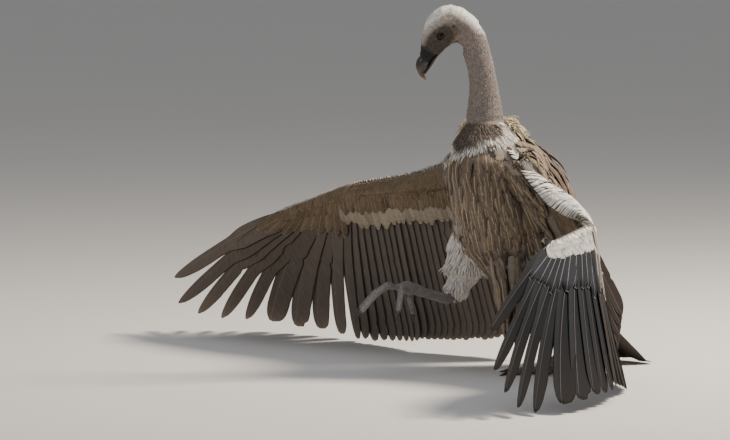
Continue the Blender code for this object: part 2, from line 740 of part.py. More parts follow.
def make_paints():
    """One material for each sort of surface."""
    brown = paint("brown_feathers", (0.16, 0.10, 0.06), 0.8)
    return {
        "crop": paint("crop_down", (0.10, 0.065, 0.045), 0.85),
        "breast": brown,
        "belly": paint("belly_feathers", (0.20, 0.135, 0.085), 0.8),
        "rump": paint("white_rump_feathers", (0.75, 0.73, 0.68), 0.8),
        "ruff": paint("ruff_plumes", (0.62, 0.55, 0.42), 0.9),
        "arm": paint("shoulder_coverts", (0.42, 0.38, 0.33), 0.8),
        "forearm": paint("forearm_coverts", (0.40, 0.35, 0.29), 0.8),
        "hand": paint("hand_coverts", (0.30, 0.29, 0.28), 0.75),
        "secondaries": paint("secondary_feathers", (0.055, 0.045, 0.040), 0.6),
        "primaries": paint("primary_feathers", (0.025, 0.025, 0.030), 0.5),
        "tail": paint("tail_feathers", (0.03, 0.028, 0.028), 0.55),
        "thigh": paint("thigh_down", (0.72, 0.69, 0.65), 0.9),
        "leg": paint("leg_scales", (0.10, 0.095, 0.10), 0.6),
        "skin": paint("neck_skin_and_down", (0.42, 0.36, 0.34), 0.8),
        "horn": paint("black_horn", (0.03, 0.028, 0.026), 0.35),
        "glass": paint("eye_surface", (0.03, 0.018, 0.012), 0.1),
    }


def main():
    """Build every part of the bird."""
    clear_scene()
    plumage = make_paints()
    trunk = build_trunk(plumage)
    neck = build_neck(plumage["skin"])
    build_head(plumage["skin"], plumage["horn"], plumage["glass"])
    build_ruff(plumage["ruff"], trunk, neck)
    thighs = build_legs(plumage, trunk)
    build_wing("left", (LEFT_BONES, LEFT_SAG, LEFT_LIE, LEFT_CREST), plumage, trunk, thighs["left"])
    build_wing("right", (RIGHT_BONES, RIGHT_SAG, RIGHT_LIE, RIGHT_CREST), plumage, trunk, thighs["right"])
    build_tail(plumage["tail"], trunk)
    build_flank(plumage["belly"], trunk, thighs["left"])
    bpy.data.objects.remove(trunk, do_unlink=True)


main()
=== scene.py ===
import math

import bpy
import numpy as np
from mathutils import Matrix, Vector
from mathutils.bvhtree import BVHTree
from mathutils.kdtree import KDTree


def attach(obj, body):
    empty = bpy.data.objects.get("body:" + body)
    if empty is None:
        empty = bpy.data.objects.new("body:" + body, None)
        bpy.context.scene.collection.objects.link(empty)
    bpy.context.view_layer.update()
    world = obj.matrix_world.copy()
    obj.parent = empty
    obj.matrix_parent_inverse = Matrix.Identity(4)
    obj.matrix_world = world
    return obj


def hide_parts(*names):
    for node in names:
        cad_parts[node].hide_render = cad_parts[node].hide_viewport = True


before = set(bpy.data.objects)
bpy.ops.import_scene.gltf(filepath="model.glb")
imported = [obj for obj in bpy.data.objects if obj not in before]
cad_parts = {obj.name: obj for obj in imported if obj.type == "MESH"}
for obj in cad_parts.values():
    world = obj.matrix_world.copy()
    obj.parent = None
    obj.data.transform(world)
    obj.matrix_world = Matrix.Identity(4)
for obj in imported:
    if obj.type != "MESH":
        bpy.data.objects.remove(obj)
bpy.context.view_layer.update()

# places below are measured from a point on the floor under the trunk, and this moves them into the shared frame
shift = np.array((0.1732, 0.1381, 0.0))
print("frame loaded:", len(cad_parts), "nodes")


def unit(v):
    return v / np.maximum(np.linalg.norm(v, axis=-1, keepdims=True), 1e-9)


def smooth(x, low, high):
    t = np.clip((x - low) / (high - low), 0, 1)
    return t * t * (3 - 2 * t)


def dotted(a, b):
    return (a * b).sum(-1, keepdims=True)


def lieWay(heading, climb):
    a, e = np.radians(heading), np.radians(climb)
    return np.stack([np.sin(a) * np.cos(e), -np.cos(a) * np.cos(e), np.sin(e)], -1)


def linear(hexColour):
    srgb = np.array([int(hexColour[i:i + 2], 16) for i in (0, 2, 4)]) / 255
    return np.where(srgb <= 0.04045, srgb / 12.92, ((srgb + 0.055) / 1.055) ** 2.4)


def waver(p, size, seed=0):
    # cheap smooth noise, -1 to 1, from a few crossed sines; size in metres
    rng = np.random.default_rng(seed)
    total = np.zeros(p.shape[:-1])
    for weight in (1, 0.7, 0.5, 0.35):
        way = unit(rng.normal(size=3)) * 2 * math.pi / size
        total += weight * np.sin(p @ way + rng.uniform(0, 6.28))
        size *= 0.58
    return total / 1.7


def addNode(tree, kind, values=None, links=None, **settings):
    # in links, a node stands for its first output
    node = tree.nodes.new("ShaderNode" + kind)
    for key, value in settings.items():
        setattr(node, key, value)
    for key, value in (values or {}).items():
        node.inputs[key].default_value = value
    for key, source in (links or {}).items():
        socket = source.outputs[0] if isinstance(source, bpy.types.Node) else source
        tree.links.new(socket, node.inputs[key])
    return node


def startMaterial(name, **sockets):
    material = bpy.data.materials.new(name)
    material.use_nodes = True
    tree = material.node_tree
    shader = tree.nodes["Principled BSDF"]
    for key, value in sockets.items():
        shader.inputs[key.replace("_", " ")].default_value = value
    return material, tree, shader


def breakUp(tree, shader, tint, pattern, low, high):
    # a pattern makes the tint darker and lighter, so that no surface is one flat colour
    shade = addNode(tree, "MapRange", {"From Min": 0.3, "From Max": 0.7, "To Min": low, "To Max": high},
                    {"Value": pattern})
    grey = addNode(tree, "CombineColor", links={0: shade, 1: shade, 2: shade})
    colour = addNode(tree, "Mix", {"Factor": 1.0}, {6: tint, 7: grey}, data_type="RGBA", blend_type="MULTIPLY")
    tree.links.new(colour.outputs[2], shader.inputs["Base Color"])


vaneLooks = {
    # barbs: lines drawn along one feather. Real ones are 0.5 mm apart, too fine to show, so these are coarser
    "flight": {"name": "flightFeatherKeratin", "barbs": 95, "relief": 0.30, "roughness": 0.80, "specular": 0.10,
               "sheen": 0.0, "contrast": 0.24},
    "covert": {"name": "covertFeatherKeratin", "barbs": 26, "relief": 0.30, "roughness": 0.78, "specular": 0.12,
               "sheen": 0.03, "contrast": 0.30},
    "plume": {"name": "bodyFeatherKeratin", "barbs": 30, "relief": 0.25, "roughness": 0.76, "specular": 0.2,
              "sheen": 0.08, "contrast": 0.34},
    "down": {"name": "looseDown", "barbs": 9, "relief": 0.15, "roughness": 0.9, "specular": 0.2,
             "sheen": 0.2, "contrast": 0.22},
}


def vaneMaterial(look):
    # feather keratin: barbs slant off a shaft and give fine lines, with a soft satin shine
    material, tree, shader = startMaterial(look["name"], Roughness=look["roughness"], Sheen_Weight=look["sheen"],
                                           Specular_IOR_Level=look["specular"], Sheen_Roughness=0.5, IOR=1.54)
    tint = addNode(tree, "Attribute", attribute_name="tint")
    line = addNode(tree, "Attribute", attribute_name="line")
    marks = addNode(tree, "Attribute", attribute_name="marks").outputs["Vector"]
    width = addNode(tree, "SeparateXYZ", links={0: marks}).outputs  # of the shaft, the edge and the tip
    across, along = addNode(tree, "SeparateXYZ", links={0: addNode(tree, "UVMap", uv_map="vane")}).outputs[:2]
    offset = addNode(tree, "Math", {1: 0.5}, {0: across}, operation="SUBTRACT")
    halfAway = addNode(tree, "Math", links={0: offset}, operation="ABSOLUTE")
    away = addNode(tree, "Math", {1: 2.0}, {0: halfAway}, operation="MULTIPLY")
    shaftSide = addNode(tree, "Math", {1: 0.45}, {0: width[0]}, operation="MULTIPLY")
    shaft = addNode(tree, "MapRange", {"To Min": 1.0, "To Max": 0.0},
                    {"Value": away, "From Min": shaftSide, "From Max": width[0]})
    inner = addNode(tree, "Math", {0: 1.0}, {1: width[1]}, operation="SUBTRACT")
    edge = addNode(tree, "MapRange", {"From Max": 1.0}, {"Value": away, "From Min": inner})
    before = addNode(tree, "Math", {0: 1.0}, {1: width[2]}, operation="SUBTRACT")
    tip = addNode(tree, "MapRange", {"From Max": 1.0}, {"Value": along, "From Min": before})
    rim = addNode(tree, "Math", links={0: edge, 1: tip}, operation="MAXIMUM")
    marked = addNode(tree, "Math", links={0: rim, 1: shaft}, operation="MAXIMUM", use_clamp=True)
    slant = addNode(tree, "Math", {1: 0.10}, {0: away}, operation="MULTIPLY")
    run = addNode(tree, "Math", links={0: along, 1: slant}, operation="SUBTRACT")
    barbPlace = addNode(tree, "CombineXYZ", links={0: away, 1: run})
    barbMap = addNode(tree, "Mapping", {"Scale": (1.4, look["barbs"], 1.0)}, {"Vector": barbPlace})
    barbs = addNode(tree, "TexNoise", {"Scale": 1.0, "Detail": 3.0, "Roughness": 0.6}, {"Vector": barbMap})
    base = addNode(tree, "Mix", links={"Factor": marked, 6: tint, 7: line}, data_type="RGBA").outputs[2]
    relief = addNode(tree, "Bump", {"Strength": look["relief"], "Distance": 0.0006}, {"Height": barbs})
    breakUp(tree, shader, base, barbs, 1 - look["contrast"], 1 + look["contrast"])
    tree.links.new(relief.outputs[0], shader.inputs["Normal"])
    return material


vanes = {key: vaneMaterial(look) for key, look in vaneLooks.items()}


sections = {  # points round one cross-section: across (-1 to 1), lift in shaft thicknesses
    "down": ((-1, 0), (0, 1), (1, 0), (0, -0.7)),
    "plume": ((-1, 0), (-0.84, 0.30), (-0.34, 0.5), (0, 1.0), (0.34, 0.5), (0.84, 0.30), (1, 0), (0, -0.5)),
    "flight": ((-1, 0), (-0.86, 0.15), (-0.38, 0.22), (-0.07, 0.3), (0, 1.0), (0.07, 0.3), (0.38, 0.22),
               (0.86, 0.15), (1, 0), (0.88, -0.14), (0.4, -0.15), (0, -0.8), (-0.4, -0.15), (-0.88, -0.14)),
}


def capQuads(count):
    return [(i, i + 1, count - 2 - i, count - 1 - i) for i in range(count // 2 - 1)]


tuftPatch = (0.003, 0.003)  # a small feather's share of the bake map


# path and up are (feathers, rings, 3); left, right, thick and camber are (feathers, rings)
def featherMesh(name, path, up, left, right, section, thick, camber, looks, bake, material, patch=tuftPatch):
    count, rings = path.shape[:2]
    across = np.array(sections[section], float)
    around = len(across)
    ahead = unit(np.gradient(path, axis=1))
    side = unit(np.cross(up, ahead))
    top = np.cross(ahead, side)
    t = across[:, 0]
    reach = np.where(t < 0, left[..., None], right[..., None]) * t
    lift = camber[..., None] * (1 - t * t) + thick[..., None] * across[:, 1]
    points = path[:, :, None] + side[:, :, None] * reach[..., None] + top[:, :, None] * lift[..., None]
    ring, spot = np.meshgrid(np.arange(rings - 1), np.arange(around), indexing="ij")
    after = (spot + 1) % around
    quads = np.stack([ring * around + spot, (ring + 1) * around + spot, (ring + 1) * around + after,
                      ring * around + after], -1).reshape(-1, 4)
    root = np.array(capQuads(around))
    tip = root[:, ::-1] + (rings - 1) * around
    quads = np.concatenate([quads, root, tip])
    faces = (quads[None] + (np.arange(count) * rings * around)[:, None, None]).reshape(-1, 4)
    along = np.linspace(0, 1, rings)
    vane = np.empty((count, rings, around, 2))
    vane[..., 0] = 0.5 + 0.5 * t
    vane[..., 1] = along[:, None]
    if patch == tuftPatch:
        place = (bake[:, None, None, :] + (vane - 0.5) * patch).reshape(-1, 2)[faces.ravel()]
    else:
        place = unrolledBake(bake, quads, rings, around, patch)
    maps = {"vane": vane.reshape(-1, 2)[faces.ravel()], "OFBake": place}
    colours = {key: spreadTo(value, (count, rings, around, 3)) for key, value in looks.items()}
    return meshPiece(name, points.reshape(-1, 3), faces, maps, colours, material)


def unrolledBake(bake, quads, rings, around, patch):
    # a quill's upper and under side differ, so its cross-section is unrolled over its own strip of the map
    spot, ring = quads % around, quads // around
    isWall = (np.arange(len(quads)) < (rings - 1) * around)[:, None]  # the rest are the caps at both ends
    closing = (spot == 0) & (quads.max(1, keepdims=True) % around == around - 1) & isWall
    across = np.where(closing, around, spot) / around
    flat = (np.stack([across, ring / (rings - 1)], -1) - 0.5) * patch
    return (bake[:, None, None, :] + flat[None]).reshape(-1, 2)


def spreadTo(value, shape):
    value = np.asarray(value, float)
    while value.ndim < 4:
        value = value[:, None] if value.ndim > 1 else value[None]
    return np.broadcast_to(value, shape).reshape(-1, 3)


def meshPiece(name, points, faces, maps, colours, material):
    mesh = bpy.data.meshes.new(name)
    mesh.vertices.add(len(points))
    mesh.vertices.foreach_set("co", points.astype(np.float32).ravel())
    mesh.loops.add(faces.size)
    mesh.loops.foreach_set("vertex_index", faces.astype(np.int32).ravel())
    mesh.polygons.add(len(faces))
    mesh.polygons.foreach_set("loop_start", (np.arange(len(faces)) * 4).astype(np.int32))
    mesh.polygons.foreach_set("use_smooth", np.ones(len(faces), bool))
    mesh.update(calc_edges=True)
    for key, uv in maps.items():
        mesh.uv_layers.new(name=key).data.foreach_set("uv", uv.astype(np.float32).ravel())
    for key, colour in colours.items():
        paintPoints(mesh, key, colour)
    mesh.materials.append(material)
    thing = bpy.data.objects.new(name, mesh)
    bpy.context.scene.collection.objects.link(thing)
    print(f"  {name}: {len(faces) * 2} triangles")
    return thing


def paintPoints(mesh, key, colour):
    kind = "FLOAT_VECTOR" if key == "marks" else "FLOAT_COLOR"
    attribute = mesh.attributes.new(key, kind, "POINT")
    if key == "marks":
        attribute.data.foreach_set("vector", colour.astype(np.float32).ravel())
    else:
        attribute.data.foreach_set("color", np.c_[colour, np.ones(len(colour))].astype(np.float32).ravel())


elbow, wrist = 0.2, 0.6  # places along a wing run from 0 at the body to 1 at its end
quillLine = 0.25  # shares across a wing run from 0 at the leading edge to 1 at the quill tips; roots are here
firstPrimary, primaryStep = 0.632, 0.0409
handLead, handRise = 0.014, 0.004  # the hand's leading edge stands before and above the quill roots

# sag: how far the skin before the elbow hangs in; turn: sign that makes up the wing's upper side; crest: height (m)
# of the forearm's raised band; covertWidth: against the other wing's; cell: its corner on the bake map
# underPaintedLight: brightness of its quills' under side against the other wing's; the difference is painted light
wings = {
    "left": {
        # shoulder, joints of the two arm bones, wrist, end of the hand
        "bones": ((.078, -.040, .380), (.094, .066, .300), (.142, .050, .200), (.335, -.105, .266),
                  (.397, -.241, .252)),
        "sag": 0.16, "turn": 1.0, "crest": 0.021, "underPaintedLight": 0.6, "covertWidth": 1.3, "cell": (0.02, 0.52),
        # place along the wing, heading, climb, length of the quill there
        "lie": ((0, 166, -60, .215), (.2, 158, -73, .205), (.4, 100, -75, .240), (.58, 62, -50, .315),
                (.632, 57, -41, .365), (.724, 52, -34, .420), (.796, 46, -31, .470), (.836, 41, -31, .490),
                (.877, 38.5, -28.5, .500), (.928, 36, -25, .490), (.968, 34, -21.5, .450), (1, 32, -17, .380),
                (1.04, 30, -12, .330))},
    "right": {
        "bones": ((-.070, -.034, .368), (-.098, .060, .335), (-.215, .070, .315), (-.471, .024, .287),
                  (-.615, .014, .246)),
        "sag": 0.42, "turn": -1.0, "crest": 0.0, "underPaintedLight": 1.0, "covertWidth": 1.0, "cell": (0.52, 0.52),
        "lie": ((0, -170, -66, .290), (.2, -176, -72, .300), (.45, -172, -72, .292), (.6, -143, -57, .335),
                (.7, -128, -41, .400), (.8, -116, -32.5, .460), (.9, -104, -29.5, .475), (.96, -97, -26, .450),
                (1, -92, -22, .380), (1.04, -89, -18, .330))},
}
# the raised band along the left forearm: its way, its shape across the wing and its height along it
crestWay = np.array((0.336, 0.400, 0.854))
crestAcross = ((0, -.90), (.035, .10), (.08, .95), (.14, 1), (.25, .62), (.52, .18), (.80, 0), (1, 0))
crestAlong = ((0, 0), (.15, .10), (.20, .30), (.30, .75), (.40, 1), (.48, .75), (.54, .30), (.57, 0), (1.05, 0))
# half the wing's thickness across it, and how that grows and shrinks along it
wingDepth = ((0, .0040), (.05, .0090), (.15, .0125), (.25, .0120), (.40, .0065), (.52, .0040), (.75, .0026),
             (1, .0015))
wingSwell = ((0, 0.6), (elbow, 1.1), (wrist, 1.0), (1.05, 0.38))


def reading(rows, x):
    rows = np.array(rows, float)
    return np.stack([np.interp(x, rows[:, 0], rows[:, k]) for k in range(1, rows.shape[1])], -1)


def quillRoot(wing, place):
    b = np.array(wing["bones"])
    last = b[3] + (b[4] - b[3]) * (1.06 - wrist) / (1 - wrist)
    rows = np.c_[(0, elbow, wrist, 1.06), np.stack([b[1], b[2], b[3], last])]
    return reading(rows, place)


def quillLie(wing, place):
    lie = reading(wing["lie"], place)
    way = lieWay(lie[..., 0], lie[..., 1])
    root = quillRoot(wing, place)
    return root, way, np.minimum(lie[..., 2], root[..., 2] / np.maximum(-way[..., 2], 0.05))


def handEdge(wing, place):
    return quillRoot(wing, place) - quillLie(wing, place)[1] * handLead + (0, 0, handRise)


def leadEdge(wing, place):
    b = np.array(wing["bones"])
    start = b[0] + (-0.25 * b[0][0], -0.010, 0.022)
    share = (np.maximum(place - elbow, 0) / (wrist - elbow))[..., None]
    end = handEdge(wing, np.full_like(place, wrist))
    sag = (b[2] - (start + b[3]) / 2) * (wing["sag"] * np.sin(math.pi * np.minimum(share, 1)))
    return np.where(place[..., None] >= wrist, handEdge(wing, place), start + (end - start) * share + sag)


def wingSheet(wing, place, across):
    root, way, length = quillLie(wing, place)
    lead = leadEdge(wing, place)
    fore = lead + (root - lead) * (across / quillLine)[..., None]
    aft = root + way * (length * (across - quillLine) / (1 - quillLine))[..., None]
    crest = wing["crest"] * reading(crestAcross, across)[..., 0] * reading(crestAlong, place)[..., 0]
    return np.where((across < quillLine)[..., None], fore, aft) + crestWay * crest[..., None] + shift


def wingUp(wing, place, across):
    reach = np.where((across < quillLine) & (place < wrist), 0.07, 0.12)
    low = np.maximum(across - reach, np.where(place > elbow, 0.0, quillLine))
    high = np.minimum(across + reach, 1.0)
    span = (wingSheet(wing, np.minimum(place + 0.03, 1.03), across)
            - wingSheet(wing, np.maximum(place - 0.03, 0), across))
    chord = wingSheet(wing, place, high) - wingSheet(wing, place, low)
    return unit(np.cross(span, chord)) * wing["turn"]


def wingHalf(place, across):
    full = reading(wingDepth, across)[..., 0]
    swell = reading(wingSwell, place)[..., 0]
    return np.where(across > 0.52, full, np.maximum(full * swell, 0.004))


def foreDepth(wing, place):
    # from the leading edge back to the roots of the quills
    return np.linalg.norm(quillRoot(wing, place) - leadEdge(wing, place), axis=-1)


def acrossAt(wing, place, distance):
    # distance back from the leading edge, in metres, as a share across the wing
    fore, length = foreDepth(wing, place), quillLie(wing, place)[2]
    aft = quillLine + (1 - quillLine) * (distance - fore) / length
    return np.where(distance < fore, quillLine * distance / np.maximum(fore, 1e-6), np.minimum(aft, 1.0))


def wingBake(wing, place, across, under):
    u0, v0 = wing["cell"]
    return np.stack([u0 + 0.44 * place / 1.05, v0 + (0.23 if under else 0) + 0.21 * across], -1)


skinShape = {
    "voxel": 0.0026, "smoothing": 5,
    "fleshShare": 0.30,  # share of the wing's flesh kept behind the quill roots
    "hiddenShare": 0.30,  # share of the faces kept where feathers hide the skin
    "parts": ["head", "neck_upper", "neck_lower", "crop", "breast", "belly", "rump"]
             + [f"{part}_{side}" for side in ("left", "right")
                for part in ("arm", "forearm", "hand", "thigh", "shank",
                             "toe_middle", "toe_inner", "toe_outer", "toe_hind")],
    "coat": {"trunk": 0.0060, "wing": 0.0026, "neck": 0.0012},  # how far the skin lies inside the coat
}
# forward and up are measured in the head's own frame, from its centre
head = {
    "centre": np.array((-.0290, -.0970, .6080)), "turn": math.radians(50), "pitch": math.radians(54),
    "eye": (0.0278, 0.0057), "eyeSide": 0.0150, "eyeRadius": 0.0078, "lidOpening": 0.0060,
    "ear": (0.0004, -0.0024), "nostril": (0.0705, 0.0055),
}
rightWay = np.array((math.cos(head["turn"]), math.sin(head["turn"]), 0))
headAhead = -rightWay * math.cos(head["pitch"]) - np.array((0, 0, math.sin(head["pitch"])))
headUp = -rightWay * math.sin(head["pitch"]) + np.array((0, 0, math.cos(head["pitch"])))
headLeft = np.cross(headUp, headAhead)


def inHead(points):
    # forward, up and left in the head's own frame
    d = points - shift - head["centre"]
    return d @ headAhead, d @ headUp, d @ headLeft


def fromHead(forward, up, left=0.0):
    return head["centre"] + shift + headAhead * forward + headUp * up + headLeft * left


def chooseOnly(thing):
    bpy.ops.object.select_all(action="DESELECT")
    thing.hide_set(False)
    thing.select_set(True)
    bpy.context.view_layer.objects.active = thing


def applyModifier(thing, kind, **settings):
    chooseOnly(thing)
    modifier = thing.modifiers.new(kind.title(), kind)
    for key, value in settings.items():
        setattr(modifier, key, value)
    bpy.ops.object.modifier_apply(modifier=modifier.name)


def pointsOf(thing):
    co = np.empty(len(thing.data.vertices) * 3)
    thing.data.vertices.foreach_get("co", co)
    return co.reshape(-1, 3)


def normalsOf(thing):
    normals = np.empty(len(thing.data.vertices) * 3, np.float32)
    thing.data.vertex_normals.foreach_get("vector", normals)
    return normals.reshape(-1, 3).astype(float)


def setPoints(thing, points):
    thing.data.vertices.foreach_set("co", points.astype(np.float32).ravel())
    thing.data.update()


def distanceToLine(points, line):
    # shortest distance to a line of (x, y, z, half width), and the half width there
    best, wide = np.full(len(points), 9.0), np.zeros(len(points))
    for a, b in zip(line, line[1:]):
        start, end = np.array(a[:3]) + shift, np.array(b[:3]) + shift
        share = np.clip((points - start) @ (end - start) / ((end - start) @ (end - start)), 0, 1)
        away = np.linalg.norm(points - start - share[:, None] * (end - start), axis=1)
        nearer = away < best
        best = np.where(nearer, away, best)
        wide = np.where(nearer, a[3] + (b[3] - a[3]) * share, wide)
    return best, wide


# middle lines of the legs, each point with the leg's half width
thighLine = {
    "left": ((.055, .020, .240, .052), (.064, .030, .195, .046), (.068, .055, .155, .036),
             (.069, .082, .125, .023), (.070, .100, .106, .0125)),
    "right": ((-.055, -.010, .240, .052), (-.062, -.030, .202, .046), (-.065, -.043, .170, .0375),
              (-.063, -.055, .143, .026), (-.060, -.066, .124, .0125)),
}
shankLine = {
    "left": ((.070, .096, .108, .0085), (.070, .098, .088, .0092), (.072, .078, .050, .0085),
             (.074, .056, .022, .0105), (.075, .045, .0105, .0120), (.075, .029, .0078, .0088)),
    "right": ((-.060, -.056, .126, .0090), (-.060, -.080, .126, .0092), (-.060, -.125, .138, .0085),
              (-.060, -.160, .149, .0105), (-.060, -.175, .152, .0120), (-.060, -.191, .151, .0088)),
}


def joinedFlesh():
    copies = []
    for name in skinShape["parts"]:
        copy = bpy.data.objects.new("flesh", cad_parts[name].data.copy())
        bpy.context.scene.collection.objects.link(copy)
        copies.append(copy)
    bpy.ops.object.select_all(action="DESELECT")
    for copy in copies:
        copy.select_set(True)
    bpy.context.view_layer.objects.active = copies[0]
    bpy.ops.object.join()
    flesh = bpy.context.view_layer.objects.active
    flesh.name = flesh.data.name = "birdSkin"
    flesh.data.materials.clear()
    bpy.ops.object.mode_set(mode="EDIT")
    bpy.ops.mesh.select_all(action="SELECT")
    bpy.ops.mesh.remove_doubles(threshold=0.00002)
    bpy.ops.mesh.normals_make_consistent(inside=False)
    bpy.ops.object.mode_set(mode="OBJECT")
    return flesh


def chooseVertices(thing, chosen):
    thing.data.vertices.foreach_set("select", chosen)
    edges = np.empty(len(thing.data.edges) * 2, int)
    thing.data.edges.foreach_get("vertices", edges)
    thing.data.edges.foreach_set("select", chosen[edges.reshape(-1, 2)].all(1))
    whole = [bool(chosen[list(face.vertices)].all()) for face in thing.data.polygons]
    thing.data.polygons.foreach_set("select", whole)


def subdivideWhere(thing, chosen):
    chooseOnly(thing)
    bpy.ops.object.mode_set(mode="EDIT")
    bpy.ops.mesh.select_mode(type="VERT")
    bpy.ops.mesh.select_all(action="DESELECT")
    bpy.ops.object.mode_set(mode="OBJECT")
    chooseVertices(thing, chosen)
    bpy.ops.object.mode_set(mode="EDIT")
    bpy.ops.mesh.subdivide(number_cuts=1, smoothness=0.0, quadcorner="INNERVERT")
    bpy.ops.object.mode_set(mode="OBJECT")


def zonesOf(points):
    # which part of the bird each point of the skin belongs to
    f, u, l = inHead(points)
    p = points - shift
    # the head ends where the jaw meets the neck
    onHead = (p[:, 2] > 0.50) & ((u > -0.035) | (f > 0.022) & (u > -0.046)) & (np.abs(l) < 0.05)
    onNeck = ~onHead & (p[:, 2] > 0.437) & (np.abs(p[:, 0]) < 0.05)
    onThigh, onFoot = np.full((2, len(points)), False)
    for side, footTop in (("left", 0.118), ("right", 0.19)):
        thigh, wide = distanceToLine(points, thighLine[side])
        shank, thin = distanceToLine(points, shankLine[side])
        footAt = np.array(shankLine[side][4][:3])
        here = (thigh < wide + 0.004) & (shank > thin + 0.006)
        nearFoot = (shank < thin + 0.005) | (np.linalg.norm(p - footAt, axis=1) < 0.122)
        onFoot |= nearFoot & ~here & (p[:, 2] < footTop) & (np.abs(p[:, 0] - footAt[0]) < 0.10)
        onThigh |= here
    return onHead, onNeck, onThigh, onFoot


def bareLeg(points, side):
    # share of scaly leg: the right shank is held forward, the left one stands
    p = points - shift
    if side == "left":
        nearFoot = (np.abs(p[:, 0] - 0.075) < 0.10) * (np.abs(p[:, 1] - 0.045) < 0.13)
        return smooth(p[:, 2], 0.100, 0.088) * nearFoot
    return smooth(p[:, 1], -0.068, -0.082) * (p[:, 2] < 0.19) * (np.abs(p[:, 0] + 0.06) < 0.10)


def makeSkin():
    skin = joinedFlesh()
    applyModifier(skin, "REMESH", mode="VOXEL", voxel_size=skinShape["voxel"], use_smooth_shade=True)
    print("  skin after remesh:", len(skin.data.polygons), "faces")
    applyModifier(skin, "SMOOTH", factor=0.5, iterations=skinShape["smoothing"])
    return skin


skin = makeSkin()
print("skin made")


def around(f, u, at):
    return np.hypot(f - at[0], u - at[1])


mouthLine = ((0.031, -0.0125), (0.040, -0.0100), (0.055, -0.0086), (0.068, -0.0088), (0.078, -0.0090))
faceShapes = (  # height, place (forward, up), reach forward and up
    (0.0017, (0.030, 0.0185), (0.014, 0.0042)),  # brow
    (-0.0016, (0.046, 0.0075), (0.010, 0.0062)),  # lore
    (0.0010, (0.024, -0.0085), (0.012, 0.0045)),  # cheek bone
    (-0.0018, head["nostril"], (0.0013, 0.0030)),
)
faceFolds = (  # creases in the bare skin: start and end (forward, up), depth, width
    ((0.012, -0.013), (0.030, -0.004), 0.0006, 0.0022),
    ((0.008, -0.020), (0.026, -0.013), 0.0006, 0.0024),
    ((0.002, 0.016), (0.018, 0.013), 0.0004, 0.0020),
    ((0.040, 0.004), (0.052, -0.002), 0.0005, 0.0020),
)


def nearLine(f, u, line):
    best = np.full(len(f), 9.0)
    for (f0, u0), (f1, u1) in zip(line, line[1:]):
        df, du = f1 - f0, u1 - u0
        share = np.clip(((f - f0) * df + (u - u0) * du) / (df * df + du * du), 0, 1)
        best = np.minimum(best, np.hypot(f - f0 - share * df, u - u0 - share * du))
    return best


def sculptHead(thing):
    points, normals = pointsOf(thing), normalsOf(thing)
    onHead, onNeck = zonesOf(points)[:2]
    f, u, l = inHead(points)
    cheek = smooth(np.abs(l), 0.004, 0.012) * onHead
    fromEar, fromMouth = around(f, u, head["ear"]), nearLine(f, u, mouthLine)
    raised = np.zeros(len(points))
    for height, (fAt, uAt), (long, tall) in faceShapes:
        raised += height * np.exp(-(((f - fAt) / long) ** 2 + ((u - uAt) / tall) ** 2)) * cheek
    raised -= 0.0022 * np.exp(-(fromEar / 0.0024) ** 2) * cheek
    raised += 0.0006 * np.exp(-((fromEar - 0.0048) / 0.0016) ** 2) * cheek
    raised -= 0.0014 * np.exp(-(fromMouth / 0.0010) ** 2) * cheek
    raised += 0.0006 * np.exp(-((fromMouth - 0.0024) / 0.0014) ** 2) * cheek
    for start, end, depth, wide in faceFolds:
        raised -= depth * np.exp(-(nearLine(f, u, (start, end)) / wide) ** 2) * cheek
    ringed = around(f, u, head["eye"])
    eyeRings = np.cos((ringed - 0.009) * 2 * math.pi / 0.0019) * smooth(ringed, 0.0165, 0.011)
    raised += 0.00022 * eyeRings * (ringed > 0.0085) * cheek
    bare = smooth(f, -0.02, 0.01) * onHead
    raised += 0.00025 * waver(points, 0.0055, 3) * (onHead | onNeck)
    folds = np.sin((points[:, 2] + 0.004 * waver(points, 0.05, 5)) * 2 * math.pi / 0.0075)
    # rings of loose skin down the neck
    raised += 0.00042 * folds * onNeck * (0.5 + 0.5 * waver(points, 0.03, 8))
    raised += 0.00030 * waver(points, 0.010, 9) * bare
    moved = points + normals * raised[:, None]
    # lids: the skin dips under the eyeball inside the opening and stands over it at the rim
    eyeTop = head["eyeSide"] + np.sqrt(np.maximum(head["eyeRadius"] ** 2 - ringed ** 2, 0))
    opening = head["lidOpening"] * (1 - 0.16 * np.abs((u - head["eye"][1]) / 0.006) ** 1.2)
    inside = smooth(ringed, opening + 0.0004, opening - 0.0004)
    rim = head["eyeSide"] + math.sqrt(head["eyeRadius"] ** 2 - head["lidOpening"] ** 2) + 0.0007
    lid = rim + 0.0008 * smooth(ringed, opening, opening + 0.0022)
    target = lid * (1 - inside) + (eyeTop - 0.0032) * inside
    blend = smooth(ringed, 0.0125, 0.0092) * (np.abs(l) > 0.006) * onHead
    outward = (target - np.abs(l)) * blend * np.sign(l)
    setPoints(thing, moved + headLeft * outward[:, None])


def coatDepths(points):
    # how far the skin lies inside the coat's outer surface
    p = points - shift
    coat = skinShape["coat"]
    depth = np.full(len(p), coat["trunk"])
    wingShare = smooth(np.abs(p[:, 0]), 0.095, 0.125)
    depth = depth + (coat["wing"] - depth) * wingShare
    neckShare = smooth(p[:, 2], 0.428, 0.452) * (np.abs(p[:, 0]) < 0.06)
    depth = depth + (coat["neck"] - depth) * neckShare
    for side in ("left", "right"):
        depth = depth * (1 - bareLeg(points, side))
    return depth * (1 - zonesOf(points)[0] * smooth(p[:, 2], 0.53, 0.56))


